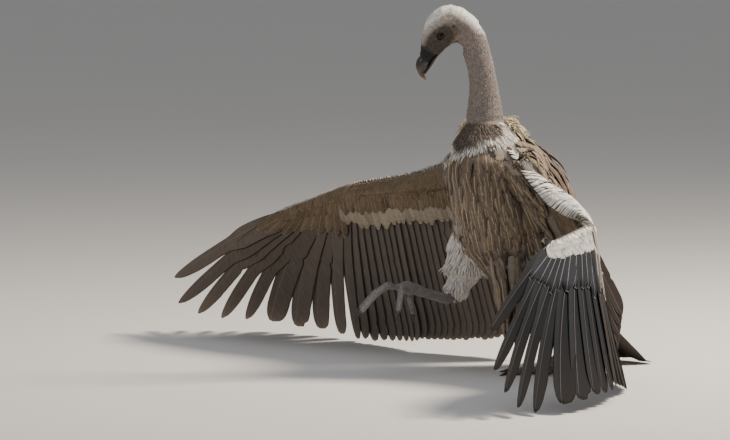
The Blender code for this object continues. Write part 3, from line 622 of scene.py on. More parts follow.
plumage = {key: linear(value) for key, value in {
    "breast": "786a5c", "breastDark": "5f5349", "streak": "ad9a7c", "crop": "5c4e44", "white": "e9e4da",
    "ruff": "d8c7a0", "thigh": "e4ddd6", "neckSkin": "80756f", "faceSkin": "433c37", "cheekSkin": "5f5040",
    "jawSkin": "5f5040", "crown": "ece7e0", "crownShade": "a89c90", "cere": "26262a", "leg": "8a8581",
    "back": "66564a", "backEdge": "b5a48c", "lesser": "e4dfd6", "lesserDark": "8f8578", "slate": "2a2c33",
    "slateEdge": "8e929b", "secondary": "352e29", "underPale": "978b7a", "underTip": "bdb3a2",
    "wristGrey": "a3a3a5", "underBrown": "6f5f4c", "tail": "5a524c", "vaneUnderWithBounce": "6b625a",
}.items()}


def mix(a, b, share):
    share = np.asarray(share)[..., None]
    return a * (1 - share) + b * share


def headColours(points):
    f, u = inHead(points)[:2]
    p = points - shift
    colour = np.broadcast_to(plumage["neckSkin"], points.shape).copy()
    # painted highlight on the crown's top, where light rims it, and painted shade (crownShade) below it
    crown = smooth(u - 0.25 * f, 0.018, 0.032) * smooth(f, 0.075, 0.045)
    shaded = smooth(u - 0.25 * f, -0.004, 0.016) * smooth(f, 0.075, 0.045)
    nape = smooth(f, -0.012, -0.030) * (p[:, 2] > 0.50)
    face = smooth(np.hypot((f - 0.037) / 0.033, (u - 0.003) / 0.0195), 1.20, 0.82)
    cheek = smooth(nearLine(f, u, ((0.004, -0.010), (0.026, -0.012), (0.040, -0.016))), 0.009, 0.003)
    jaw = smooth(nearLine(f, u, ((0.022, -0.024), (0.050, -0.015), (0.062, -0.012))), 0.007, 0.0035)
    cere = smooth(f, 0.056, 0.064) * smooth(u, -0.0115, -0.0080)
    # painted shade: the ear opening is painted darker, as the shade in its hole
    ear = smooth(around(f, u, head["ear"]), 0.0042, 0.0018)
    lids = smooth(around(f, u, head["eye"]), 0.0086, 0.0068)
    onHead = zonesOf(points)[0]
    for share, shade in ((shaded, "crownShade"), (crown, "crown"), (nape, "crown"), (cheek * 0.8, "cheekSkin"),
                         (jaw * 0.8, "jawSkin"), (face * 0.92, "faceSkin"), (cere, "cere"),
                         (ear * 0.85, "breastDark"), (lids * 0.35, "cere")):
        colour = mix(colour, plumage[shade], share * (onHead | shade.startswith("crown") * (f < 0)))
    return colour * (1 + 0.10 * waver(points, 0.012, 21))[:, None]


def trunkColours(points, seed=0):
    p = points - shift
    front = smooth(p[:, 1], 0.055, 0.0)
    low = smooth(p[:, 1] + 0.35 * (0.30 - p[:, 2]), 0.118, 0.150) * (p[:, 2] < 0.31)
    colour = mix(plumage["back"], plumage["breast"], front)
    colour = mix(colour, plumage["breastDark"], 0.55 * smooth(waver(points, 0.06, 31 + seed), 0.1, 0.8))
    colour = mix(colour, plumage["white"], low)
    return colour * (1 + 0.14 * waver(points, 0.02, 33 + seed))[:, None]


neckBase = (0.0, -0.042)


def neckAngle(p):
    # angle round the base of the neck, 0 in front and growing towards the left
    return np.degrees(np.arctan2(p[:, 0], -(p[:, 1] - neckBase[1])))


def cropShare(points):
    # the crop is the dark velvety patch under the throat, cut off below by a pale crease
    p = points - shift
    line = 0.386 + 0.476 * np.maximum(p[:, 0], -0.055)
    wide = smooth(neckAngle(p), 52, 38) * smooth(neckAngle(p), -125, -105)
    return smooth(p[:, 2] - line, -0.002, 0.006) * wide * (p[:, 2] < 0.452), p[:, 2] - line


# the white crease under the crop, widening to the white patch at the shoulder: x, y, z, half width
whiteLines = (
    ((.008, -.105, .387, .0040), (.028, -.094, .3975, .0060), (.039, -.081, .4045, .0080),
     (.0475, -.062, .408, .0105), (.0545, -.044, .406, .0135), (.066, -.036, .393, .0150),
     (.085, -.044, .384, .0140), (.108, -.046, .363, .0130)),
    ((.0545, -.040, .406, .0135), (.042, -.032, .432, .0150)),
)


def shoulderWhite(points):
    mirrored = points - shift
    mirrored[:, 0] = np.abs(mirrored[:, 0])
    white = np.zeros(len(points))
    for line in whiteLines:
        near, wide = distanceToLine(mirrored + shift, line)
        white = np.maximum(white, smooth(near - wide, 0.003, -0.003))
    return white


def throatSide(points):
    # the last of the down between the white patch and the neck
    p = points - shift
    return (p[:, 2] > 0.408) & (p[:, 1] < 0.0) & (p[:, 0] > 0)


def paintSkin(thing):
    points = pointsOf(thing)
    p = points - shift
    onHead, onNeck, onThigh = zonesOf(points)[:3]
    colour = trunkColours(points)
    colour = mix(colour, plumage["lesserDark"], smooth(np.abs(p[:, 0]), 0.10, 0.13))
    colour = mix(colour, plumage["crop"], cropShare(points)[0])
    colour = mix(colour, plumage["white"], shoulderWhite(points))
    colour[onThigh] = plumage["thigh"]
    legTone = plumage["leg"] * (1 + 0.12 * waver(points, 0.006, 41))[:, None]
    for side in ("left", "right"):
        colour = mix(colour, legTone, bareLeg(points, side))
    colour = mix(colour, headColours(points), (onHead | onNeck).astype(float))
    paintPoints(thing.data, "tint", np.clip(colour, 0, 1))


def skinMaterial():
    # bare vulture skin: thick, dry and finely creased, a little light shows through it
    material, tree, shader = startMaterial("bareVultureSkin", Roughness=0.66, Subsurface_Weight=0.06,
                                           Subsurface_Scale=0.004, IOR=1.45, Specular_IOR_Level=0.35)
    tint = addNode(tree, "Attribute", attribute_name="tint")
    place = addNode(tree, "TexCoord").outputs["Object"]
    # pores and fine creases about 1.6 mm apart
    pores = addNode(tree, "TexVoronoi", {"Scale": 620.0, "Randomness": 1.0}, {"Vector": place},
                    feature="DISTANCE_TO_EDGE")
    blotch = addNode(tree, "TexNoise", {"Scale": 160.0, "Detail": 5.0, "Roughness": 0.6}, {"Vector": place})
    crease = addNode(tree, "Bump", {"Strength": 0.4, "Distance": 0.0004}, {"Height": pores.outputs["Distance"]})
    relief = addNode(tree, "Bump", {"Strength": 0.35, "Distance": 0.0008}, {"Height": blotch, "Normal": crease})
    breakUp(tree, shader, tint, blotch, 0.72, 1.25)
    tree.links.new(relief.outputs[0], shader.inputs["Normal"])
    return material


def wingSpots(low, high):
    grids = np.meshgrid(np.linspace(0.0, 1.04, 120), np.linspace(low, high, 24))
    place, across = (grid.ravel() for grid in grids)
    spots = [(name, at, over, spot) for name, wing in wings.items()
             for at, over, spot in zip(place, across, wingSheet(wing, place, across))]
    tree = KDTree(len(spots))
    for n, there in enumerate(spots):
        tree.insert(there[-1], n)
    tree.balance()
    return spots, tree


def endFlesh(points):
    # a wing's flesh ends soon behind the roots of the quills: behind them there are feathers only
    spots, tree = wingSpots(quillLine, 0.56)
    moved = points.copy()
    for n in np.nonzero(np.abs(points[:, 0] - shift[0]) > 0.10)[0]:
        spot, distance = tree.find(points[n])[1:]
        name, place, across, there = spots[spot]
        if distance > 0.020 or across <= quillLine:
            continue
        drawn = quillLine + (across - quillLine) * skinShape["fleshShare"]
        share = float(smooth(abs(points[n, 0] - shift[0]), 0.10, 0.13))
        moved[n] += (wingSheet(wings[name], np.array([place]), np.array([drawn]))[0] - there) * share
    return moved


def thinHidden(thing):
    # feathers hide most of the skin, so its mesh is thinned there and kept dense where it shows
    points = pointsOf(thing)
    shown = np.any(zonesOf(points), axis=0)
    group = thing.vertex_groups.new(name="hidden")
    group.add([int(i) for i in np.nonzero(~shown)[0]], 1.0, "REPLACE")
    applyModifier(thing, "DECIMATE", ratio=skinShape["hiddenShare"], vertex_group="hidden")
    thing.vertex_groups.clear()


def finishSkin(thing):
    thinHidden(thing)
    setPoints(thing, pointsOf(thing) - normalsOf(thing) * coatDepths(pointsOf(thing))[:, None])
    setPoints(thing, endFlesh(pointsOf(thing)))
    for backOfFace in (-0.05, -0.005):
        f, u = inHead(pointsOf(thing))[:2]
        subdivideWhere(thing, zonesOf(pointsOf(thing))[0] & (f > backOfFace) & (u > -0.03))
    sculptHead(thing)
    points = pointsOf(thing)
    points[:, 2] = np.maximum(points[:, 2], 0.0004)
    setPoints(thing, points)
    paintSkin(thing)
    thing.data.materials.append(skinMaterial())
    thing.data.shade_smooth()
    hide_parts(*skinShape["parts"])
    print("  birdSkin:", sum(len(p.vertices) - 2 for p in thing.data.polygons), "triangles")


finishSkin(skin)
shownPieces = [skin]
skinFaces = [tuple(face.vertices) for face in skin.data.polygons]
skinTree = BVHTree.FromPolygons([tuple(point) for point in pointsOf(skin)], skinFaces)
print("skin sculpted and painted")


def scatter(thing, inside, spacing, seed):
    # points spread evenly over the part of a mesh that inside() picks, with their normals
    rng = np.random.default_rng(seed)
    points, normals = pointsOf(thing), normalsOf(thing)
    thing.data.calc_loop_triangles()
    corners = np.empty(len(thing.data.loop_triangles) * 3, int)
    thing.data.loop_triangles.foreach_get("vertices", corners)
    corners = corners.reshape(-1, 3)
    corners = corners[inside(points[corners].mean(1), unit(normals[corners].mean(1)))]
    a, b, c = points[corners[:, 0]], points[corners[:, 1]], points[corners[:, 2]]
    area = np.linalg.norm(np.cross(b - a, c - a), axis=1) / 2
    count = int(area.sum() / spacing ** 2 * 5)
    pick = rng.choice(len(corners), count, p=area / area.sum())
    x, y = rng.random(count), rng.random(count)
    x, y = np.where(x + y > 1, 1 - x, x), np.where(x + y > 1, 1 - y, y)
    where = a[pick] + (b - a)[pick] * x[:, None] + (c - a)[pick] * y[:, None]
    facing = unit(normals[corners[pick]].mean(1))
    # one root is kept in each small cube of space
    first = np.unique(np.floor(where / (spacing * 1.18)).astype(int), axis=0, return_index=True)[1]
    return where[first], facing[first]


def bodyBake(points):
    # an unwrap of the body's own shape: height up it, and angle round it
    p = points - shift
    angle = np.arctan2(p[:, 0], -(p[:, 1] - 0.02)) / (2 * math.pi) + 0.5
    return np.stack([0.03 + 0.94 * angle, 0.02 + 0.46 * np.clip(p[:, 2] / 0.65, 0, 1)], -1)


def shortPaths(roots, facing, way, length, rise, rings):
    # a small tuft: leaves the skin, lifts, and lies over along it
    s = np.linspace(0, 1, rings)
    way = unit(way - facing * dotted(way, facing))
    lift = rise[:, None] * np.sin(s * math.pi * 0.62)
    path = roots[:, None] - facing[:, None] * 0.0008 + way[:, None] * (length[:, None] * s)[..., None]
    path = path + facing[:, None] * lift[..., None]
    return path, np.repeat(facing[:, None], rings, 1)


floorGap, looseFrom = 0.004, 0.04  # feathers end above the floor; this far out they hang free


def longPaths(roots, facing, way, length, heights, rings, hold, fall):
    # a long feather is walked along the body: pushed out of the skin, and held near it as far as hold says
    paths, ups = np.empty((len(roots), rings, 3)), np.empty((len(roots), rings, 3))
    for n in range(len(roots)):
        here, up = Vector(roots[n]), Vector(facing[n])
        step = length[n] / (rings - 1)
        ahead = Vector(way[n])
        ahead = (ahead - up * ahead.dot(up)).normalized()
        here = here + up * heights[n][0]
        paths[n, 0], ups[n, 0] = here, up
        for k in range(1, rings):
            ahead = (ahead + Vector((0, 0, -fall * step / 0.02))).normalized()
            spot = here + ahead * step
            near, normal = skinTree.find_nearest(spot)[:2]
            gap = (spot - near).dot(normal)
            want = heights[n][k]
            if gap < want:
                spot = spot + normal * (want - gap)
            elif gap < looseFrom:
                spot = spot - normal * (gap - want) * hold
            spot.z = max(spot.z, floorGap)
            ahead = (ahead + (spot - here).normalized()).normalized()
            up = (up * 0.4 + normal * 0.6)
            up = (up - ahead * up.dot(ahead)).normalized()
            here = spot
            paths[n, k], ups[n, k] = here, up
    return paths, ups


def roundEnd(s, start, length, least):
    # 1 along a feather, then falling to its tip as a quarter of an ellipse
    return np.sqrt(np.maximum(1 - (np.maximum(s - start, 0) / length) ** 2, least))


def profile(rings, kind):
    s = np.linspace(0, 1, rings)
    shapes = {
        "lance": np.sin(math.pi * np.clip(s, 0.02, 0.985) ** 0.62) ** 0.75,
        "round": np.minimum(smooth(s, -0.05, 0.35), roundEnd(s, 0.55, 0.46, 0.02)),
        "tuft": np.sin(math.pi * np.clip(s, 0.06, 0.97) ** 0.8) ** 0.6,
        "plume": np.sin(math.pi * np.clip(s, 0.03, 0.975) ** 0.85) ** 0.55,
    }
    return shapes[kind]


def widths(count, rings, kind, half, seed, fray=0.12):
    rng = np.random.default_rng(seed)
    both = np.asarray(half)[..., None] * profile(rings, kind)
    left, right = both * (1 + fray * rng.normal(size=(2, count, rings)))
    return left, right


def looksOf(tint, line, shaft, edge, tip):
    line = np.clip(np.broadcast_to(line, tint.shape), 0, 1)
    return {"tint": np.clip(tint, 0, 1), "line": line, "marks": np.tile((shaft, edge, tip), (len(tint), 1))}


def addPiece(thing, slot, *nodes):
    if nodes:
        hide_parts(*nodes)
    shownPieces.append(thing)
    return thing


flight = {
    "primaries": 10, "secondaries": 20, "tertials": 6, "rings": 34,
    "tilt": 5.0,  # degrees each vane leans, so that it laps over its neighbour
    "shaft": 0.0012, "bow": 0.012,  # shaft thickness at the root, and how far a long quill bows forward
    "outerHalf": (0.0150, 0.0125), "innerHalf": (0.0290, 0.0300),  # vane widths of secondaries and primaries
    "firstFinger": 6,  # from this primary outwards, the feathers narrow to fingers
    "lowest": 0.0022, "ragged": 0.009,
    "split": 0.16, "whole": 0.97,  # here and there the barbs part: how deep, and the share that stays whole
    "map": (0.9, 0.98),  # the map's width shared by all quills, and the length of each
}


def vaneWidths(s, primary):
    # outer and inner half widths of a flight feather along its length
    outer, inner = (np.take(flight[key], primary > 0)[:, None] * np.ones(len(s))
                    for key in ("outerHalf", "innerHalf"))
    fingered = (primary >= flight["firstFinger"])[:, None]
    outer = np.where(fingered, outer * (1 - 0.42 * smooth(s, 0.36, 0.52)), outer)
    inner = np.where(fingered, inner * (1 - 0.40 * smooth(s, 0.42, 0.60)), inner)
    start = 0.20 + 0.80 * smooth(s, -0.05, 0.16)
    point = np.where(fingered, roundEnd(s, 0.74, 0.262, 0.006), roundEnd(s, 0.86, 0.142, 0.006))
    return outer * start * point, inner * start * point


def quillPlaces():
    primary = firstPrimary + np.arange(flight["primaries"]) * primaryStep
    secondary = np.linspace(elbow + 0.004, firstPrimary - primaryStep * 0.62, flight["secondaries"])
    tertial = np.linspace(0.030, elbow - 0.022, flight["tertials"])
    return np.concatenate([tertial, secondary, primary]), np.concatenate(
        [np.zeros(flight["tertials"] + flight["secondaries"], int), np.arange(1, flight["primaries"] + 1)])


def quillStrips(count):
    # each quill has its own strip of the map, so its length is drawn in full
    wide, tall = flight["map"]
    return np.stack([(np.arange(count) + 0.5) / count, np.full(count, 0.5)], -1), (wide / count, tall)


def flightLooks(wing, s, primary, flip, rng):
    # colours at every point of the quills: slate primaries, brown secondaries, pale outer edges, paler below;
    # the pale edges are partly a painted highlight, the paler under side partly painted bounce light
    count, isPrimary = len(primary), (primary > 0)[:, None, None, None]
    t, lift = np.array(sections["flight"]).T
    tint = np.where(isPrimary, plumage["slate"] * 0.30, plumage["secondary"] * 0.55)
    tint = tint * (1 + 0.16 * rng.normal(size=(count, 1, 1, 1)))
    rootPale = np.exp(-s / 0.16)[None, :, None, None]
    # outer vanes painted paler, most near the root: partly their real pale edges, partly a painted highlight
    outerVane = ((t[None, None, :, None] * np.where(flip, 1, -1)[:, None, None, None]) > 0.3) * 1.0
    tint = tint + (plumage["slateEdge"] - tint) * (0.03 + 0.10 * rootPale) * outerVane
    tint = tint + (plumage["secondary"] * 1.2 - tint) * smooth(s, 0.55, 1.0)[None, :, None, None] * 0.25
    # painted bounce light: the quills' under side and its lines are painted paler, partly their real greyish colour
    # and partly light from the floor; underPaintedLight sets how much on each wing
    below = (lift < 0)[:, None] * 1.0
    under = plumage["vaneUnderWithBounce"] * (0.9 + 0.2 * rng.random((count, 1, 1, 1))) * wing["underPaintedLight"]
    tint = tint + (under - tint) * below
    line = mix(plumage["secondary"] * 2.4, plumage["slateEdge"], 0.22) + plumage["underPale"] * 0.35 * below
    marks = np.where(isPrimary, (0.030, 0.030, 0.006), (0.040, 0.070, 0.010))
    return {"tint": tint, "line": np.broadcast_to(line, tint.shape), "marks": np.broadcast_to(marks, tint.shape)}


def growFlight(side):
    wing = wings[side]
    rng = np.random.default_rng(11 if side == "left" else 12)
    place, primary = quillPlaces()
    count, s = len(place), np.linspace(0, 1, flight["rings"])
    at = np.repeat(place[:, None], len(s), 1)
    across = quillLine + (1 - quillLine) * (s * 0.998)[None] * (1 - 0.012 * rng.random((count, 1)))
    up = wingUp(wing, at, across)
    path = wingSheet(wing, at, across)
    outwards = unit(wingSheet(wing, at + 0.02, across) - path)
    quillLength = np.linalg.norm(path[:, -1] - path[:, 0], axis=-1)
    bow = flight["bow"] * np.where(primary > 0, 1.0, 0.35) * quillLength / 0.45
    path = path + outwards * (bow[:, None] * 4 * s * (1 - s) * 0.9)[..., None]
    path = path + up * (0.006 * s * (1 - s) * np.where(primary > 5, 1.6, 0.6)[:, None])[..., None]
    path[..., 2] = np.maximum(path[..., 2], flight["lowest"])
    lean = math.radians(flight["tilt"]) * (1 + 0.25 * rng.normal(size=(count, 1, 1)))
    ahead = unit(np.gradient(path, axis=1))
    vaneWay = unit(np.cross(up, ahead))
    outer = np.sign(dotted(vaneWay, outwards))
    tilted = up * np.cos(lean) - vaneWay * outer * np.sin(lean)
    small, big = vaneWidths(s, primary)
    ragged = 1 + flight["ragged"] * rng.normal(size=(count, len(s)))
    split = 1 - flight["split"] * (rng.random((count, len(s))) > flight["whole"])
    big = big * ragged * split
    flip = outer[:, 0, 0] > 0
    left = np.where(flip[:, None], big, small)
    right = np.where(flip[:, None], small, big)
    thick = flight["shaft"] * (1 - 0.72 * s)[None] * np.ones((count, 1))
    camber = 0.0007 * (1 - 0.4 * s)[None] * np.ones((count, 1))
    bake, patch = quillStrips(count)
    thing = featherMesh(f"flightFeathers{side.title()}", path, tilted, left, right, "flight", thick, camber,
                        flightLooks(wing, s, primary, flip, rng), bake, vanes["flight"], patch)
    parts = ["secondaries", "tertials", "primaries_inner"] + [f"primary_{n}" for n in range(6, 11)]
    return addPiece(thing, "primary_feathers", *(f"{part}_{side}" for part in parts))


for side in wings:
    growFlight(side)
print("flight feathers grown")


coverts = {
    "rings": 6,
    # rows back from the leading edge: distance (m), length, half width, spacing
    "lesser": ((.001, .014, .0050, .0072), (.008, .018, .0062, .0088), (.017, .022, .0074, .0104),
               (.027, .025, .0084, .0116), (.038, .028, .0094, .0130), (.050, .031, .0102, .0140),
               (.063, .033, .0108, .0148), (.077, .036, .0114, .0156), (.092, .038, .0120, .0165),
               (.108, .040, .0124, .0172), (.125, .042, .0128, .0180)),
    # rows before the roots of the quills: distance behind them, length, half width, spacing
    "upperMedian": ((-.034, .055, .0130, .0125), (-.014, .060, .0140, .0130)),
    "wristPatch": ((-.011, .036, .0100, .0150), (-.002, .050, .0120, .0190)),
    "underMedian": ((-.030, .050, .0120, .0125), (-.012, .052, .0125, .0125)),
    # single rows along the roots: distance behind them, length, half width, rise
    "greater": (-.004, .118, .0165, .0016), "primaryCovert": (-.002, .150, .0150, .0016),
    "underGreater": (.002, .062, .0145, .0016), "underPrimary": (.002, .095, .0130, .0016),
    "underGap": (-.004, .045, .0110, .0024), "greaterCount": 30, "patchFrom": 0.585,
}


def rowPlaces(wing, start, end, distance, spacing, offset):
    steps = np.linspace(start, end, 160)
    across = acrossAt(wing, steps, np.full(len(steps), distance))
    line = wingSheet(wing, steps, np.clip(across, 0, 1))
    run = np.concatenate([[0], np.cumsum(np.linalg.norm(np.diff(line, axis=0), axis=1))])
    want = np.arange(spacing * (0.25 + 0.5 * offset), run[-1], spacing)
    return np.interp(want, run, steps)


def covertBatch(wing, upper, place, distance, length, rise, rings, seed):
    # feathers that follow the wing's own surface back from the leading edge
    rng = np.random.default_rng(seed)
    s = np.linspace(0, 1, rings)
    count = len(place)
    place = place + rng.normal(size=count) * 0.0015
    length = length * (1 + 0.07 * rng.normal(size=count))
    at = np.repeat(place[:, None], rings, 1) + (rng.normal(size=(count, 1)) * 0.003) * s
    back = distance[:, None] + length[:, None] * s
    across = acrossAt(wing, at, back)
    up = wingUp(wing, at, across) * (1 if upper else -1)
    height = (wingHalf(at, across) - 0.0022 + rise * smooth(s, -0.1, 0.9)) * smooth(back, -0.004, 0.009)
    path = wingSheet(wing, at, across) + up * height[..., None]
    path[..., 2] = np.maximum(path[..., 2], 0.004)
    lean = rng.normal(size=(count, 1, 1)) * 0.07
    side = unit(np.cross(up, unit(np.gradient(path, axis=1))))
    return path, up * np.cos(lean) + side * np.sin(lean), at, across


covertPaints = {
    # ground, edge, shaft width, edge width, tip width
    "lesser": ("lesser", "white", 0.05, 0.34, 0.20),
    "median": ("lesserDark", "lesser", 0.05, 0.24, 0.12),
    "wristPatch": ("wristGrey", "white", 0.02, 0.34, 0.34),
    "greater": ("lesserDark", "lesser", 0.04, 0.12, 0.05),
    "primaryCovert": ("slate", "slateEdge", 0.035, 0.08, 0.03),
    "underLesser": ("underBrown", "underPale", 0.06, 0.12, 0.05),
    "underMedian": ("underBrown", "underPale", 0.06, 0.14, 0.06),
    "underGreater": ("underPale", "underTip", 0.04, 0.12, 0.05),
    "underPrimary": ("underBrown", "underPale", 0.05, 0.12, 0.05),
}


def covertTint(wing, upper, kind, ground, distance, place, rng):
    count = len(place)
    tint = plumage[ground] * (1 + 0.13 * rng.normal(size=(count, 1)))
    if kind in ("lesser", "median"):
        darkest = 0.75 if kind == "lesser" else 1
        tint = mix(tint, plumage["lesserDark"], smooth(distance, 0.055, 0.14) * darkest)
    if kind == "greater":
        tint = mix(tint, plumage["slate"], 0.30 + 0.45 * smooth(place, 0.50, 0.62))
    if kind == "wristPatch":
        tint = mix(tint, plumage["slate"], 0.55 * rng.random(count) ** 2)
    if kind == "primaryCovert":
        tint = tint * 0.6
    # painted shade: the right wing's upper coverts are painted brown along the forward-facing leading edge
    if upper and wing is wings["right"]:
        tint = mix(tint, plumage["underBrown"], 0.9 * smooth(distance, 0.007, 0.003))  # painted shade
    return np.clip(tint, 0, 1)


def growRows(name, wing, upper, rows, seed):
    batches, rings = [], coverts["rings"]
    for n, (place, distance, length, half, rise, kind) in enumerate(rows):
        count = len(place)
        if count == 0:
            continue
        distance = np.broadcast_to(distance, count)
        path, up, at, across = covertBatch(wing, upper, place, distance, length, rise, rings, seed + n)
        left, right = widths(count, rings, "round", np.full(count, half), seed + n, 0.05)
        ground, edgeTone, *marks = covertPaints[kind]
        tint = covertTint(wing, upper, kind, ground, distance, at[:, 0], np.random.default_rng(seed + n))
        batches.append({"path": path, "up": up, "left": left, "right": right, "tint": tint,
                        "line": np.tile(plumage[edgeTone], (count, 1)), "marks": np.tile(marks, (count, 1)),
                        "bake": wingBake(wing, at[:, 0], across[:, 0], not upper)})
    path, up, left, right, bake, tint, line, marks = (
        np.concatenate([batch[key] for batch in batches])
        for key in ("path", "up", "left", "right", "bake", "tint", "line", "marks"))
    thing = featherMesh(name, path, up, left, right, "plume", np.full(left.shape, 0.0004), left * 0.12,
                        {"tint": tint, "line": line, "marks": marks}, bake, vanes["covert"])
    return addPiece(thing, "wing_coverts")


def lesserRows(wing, start, closeness, margin, longer, wider, rise, kind):
    for k, (distance, length, half, spacing) in enumerate(coverts["lesser"]):
        place = rowPlaces(wing, start, 1.0, distance, spacing * closeness, k % 2)
        place = place[distance < foreDepth(wing, place) - margin]
        yield place, distance, length * longer, half * wider, rise, kind


def medianRows(wing, key, start, closeness, rise, kind):
    for back, length, half, spacing in coverts[key]:
        place = rowPlaces(wing, start, wrist, 0.05, spacing * closeness, 0)
        yield place, np.maximum(foreDepth(wing, place) + back, 0.01), length, half, rise, kind


def quillRow(wing, place, kind):
    back, length, half, rise = coverts[kind]
    return place, foreDepth(wing, place) + back, length, half, rise, kind


def growUpperCoverts(side):
    wing, seed = wings[side], 100 if side == "left" else 200
    rows = list(lesserRows(wing, 0.08, 1.0, 0.008, 1.0, wing["covertWidth"], 0.0028, "lesser"))
    rows += medianRows(wing, "upperMedian", 0.03, 0.9, 0.0030, "median")
    for back, length, half, gap in coverts["wristPatch"]:
        place = np.arange(coverts["patchFrom"] + gap / 2, 1.0, gap)
        distance = np.maximum(foreDepth(wing, place) + back, 0.003)
        rows.append((place, distance, length, half, 0.0030, "wristPatch"))
    secondary = np.linspace(0.02, firstPrimary - primaryStep * 0.6, coverts["greaterCount"])
    primary = firstPrimary + (np.arange(11) - 0.4) * primaryStep * 0.93
    rows.append(quillRow(wing, secondary, "greater"))
    rows.append(quillRow(wing, primary, "primaryCovert"))
    return growRows(f"upperCoverts{side.title()}", wing, True, rows, seed)


def growUnderCoverts(side):
    wing, seed = wings[side], 300 if side == "left" else 400
    rows = list(lesserRows(wing, 0.12, 1.05, 0.006, 1.1, 1.0, 0.0026, "underLesser"))
    rows += medianRows(wing, "underMedian", 0.12, 1.0, 0.0028, "underMedian")
    secondary = np.linspace(0.06, firstPrimary - primaryStep * 0.6, coverts["greaterCount"])
    primary = firstPrimary + (np.arange(11) - 0.3) * primaryStep * 0.93
    rows.append(quillRow(wing, secondary, "underGreater"))
    rows.append(quillRow(wing, primary, "underPrimary"))
    # a short row lies over the gaps between the primaries
    back, length, half, rise = coverts["underGap"]
    distance = foreDepth(wing, primary[:-1]) + back
    rows.append((primary[:-1] + primaryStep / 2, distance, length, half, rise, "underPrimary"))
    return growRows(f"underCoverts{side.title()}", wing, False, rows, seed)


for side in wings:
    growUpperCoverts(side)
    growUnderCoverts(side)
print("coverts grown")


tail = {
    "count": 12, "rings": 20, "root": np.array((0, .138, .142)), "tip": np.array((0, .300, -.010)),
    "sides": (.034, .072),  # half the tail's width at its root and at its end
    "halfWidth": 0.017, "shaft": 0.0012,
}


def growTail():
    count, s = tail["count"], np.linspace(0, 1, tail["rings"])
    rng = np.random.default_rng(51)
    u = np.linspace(-0.80, 0.80, count)
    run = tail["tip"] - tail["root"]
    up = unit(np.cross(run, (-1.0, 0, 0)))
    reach = s[None] * (1 - 0.03 * u[:, None] ** 2)
    wide = tail["sides"][0] + (tail["sides"][1] - tail["sides"][0]) * s[None]
    path = tail["root"] + run * reach[..., None]
    path[..., 0] += wide * u[:, None]
    stack = (1 - np.abs(u)) * 0.0055
    path = path + up * (stack[:, None] - 0.010 * u[:, None] ** 2)[..., None] + shift
    path[..., 2] = np.maximum(path[..., 2], 0.0030 + 0.6 * stack[:, None])
    ups = np.broadcast_to(up, path.shape).copy()
    ups[..., 0] += 0.10 * np.sign(u)[:, None]
    half = tail["halfWidth"] * (0.45 + 0.55 * smooth(s, 0, 0.4)) * roundEnd(s, 0.84, 0.162, 0.01)
    half = np.tile(half, (count, 1))
    jag = 1 + 0.04 * rng.normal(size=half.shape)
    # painted light: the tail, which lies in shade, is painted paler than its real dark brown
    tint = np.tile(plumage["tail"], (count, 1)) * (1 + 0.15 * rng.normal(size=(count, 1)))
    bake, patch = quillStrips(count)
    thick = np.full(half.shape, tail["shaft"]) * (1 - 0.7 * s)
    thing = featherMesh("tailFeathers", path, unit(ups), half * jag, half, "flight", thick, half * 0.10,
                        looksOf(tint, plumage["secondary"] * 2, 0.07, 0.04, 0.015), bake, vanes["flight"], patch)
    return addPiece(thing, "tail_feathers", "tail")


growTail()
print("tail grown")


bodyFeathers = {
    # spacing of roots, length, half width, how far they stand off, hold on the body, pull of weight
    "breastPlumes": {"spacing": 0.0100, "rings": 13, "length": 0.080, "half": 0.0088, "stand": 0.0046,
                     "hold": 0.45, "fall": 0.05},
    "backPlumes": {"spacing": 0.0128, "rings": 9, "length": 0.062, "half": 0.0105, "stand": 0.0048,
                   "hold": 0.6, "fall": 0.0},
    "scapularFeathers": {"spacing": 0.0190, "rings": 10, "length": 0.084, "half": 0.0125, "stand": 0.0100,
                         "hold": 0.30, "fall": 0.0},
    "shoulderFeathers": {"spacing": 0.0078, "rings": 6, "length": 0.030, "half": 0.0066, "stand": 0.0022,
                         "hold": 0.8, "fall": 0.0},
}
# feathers radiate from these places on the breast and the nape
breastHub, napeHub = np.array((0.004, -0.070, 0.425)), np.array((0, -0.035, 0.430))


def bodyFlow(points, facing):
    # from the base of the neck, down the breast and back along the flanks
    p = points - shift
    behind = smooth(p[:, 1], -0.02, 0.05)[:, None]
    away = p - (breastHub * (1 - behind) + napeHub * behind)
    away[:, 2] -= 0.05 + 0.10 * smooth(0.25 - p[:, 2], 0, 0.1)
    way = unit(away)
    return unit(way - facing * dotted(way, facing))


def onTrunk(points):
    # the body without its head, neck, legs and wings
    p = points - shift
    return ~np.any(zonesOf(points), axis=0) & (np.abs(p[:, 0]) < 0.118) & (p[:, 2] > 0.115) & (p[:, 1] > -0.16)


def growBody(name, inside, tintOf, seed, slot, shape="lance", grow=None):
    look, rng = bodyFeathers[name], np.random.default_rng(seed)
    roots, facing = scatter(skin, inside, look["spacing"], seed)
    count, rings = len(roots), look["rings"]
    way = unit(bodyFlow(roots, facing) + 0.07 * rng.normal(size=(count, 3)))
    length = look["length"] * (1 + 0.12 * rng.normal(size=count))
    if grow:
        length = length * grow(roots - shift)
    s = np.linspace(0, 1, rings)
    heights = -0.0008 + (look["stand"] + 0.0010 * rng.random((count, 1))) * smooth(s, -0.05, 0.5)[None]
    path, up = longPaths(roots, facing, way, length, heights, rings, look["hold"], look["fall"])
    half = look["half"] * (1 + 0.12 * rng.normal(size=count))
    left, right = widths(count, rings, shape, half, seed + 1, 0.17)
    tint, line, marks = tintOf(roots, facing, rng)
    thing = featherMesh(name, path, up, left, right, "plume", np.full(left.shape, 0.0004), left * 0.05,
                        looksOf(tint, line, *marks), bodyBake(roots), vanes["plume"])
    return addPiece(thing, slot)


paleSpots = (((.066, -.050, .225), .026), ((-.034, -.086, .285), .016))  # loose pale down shows through


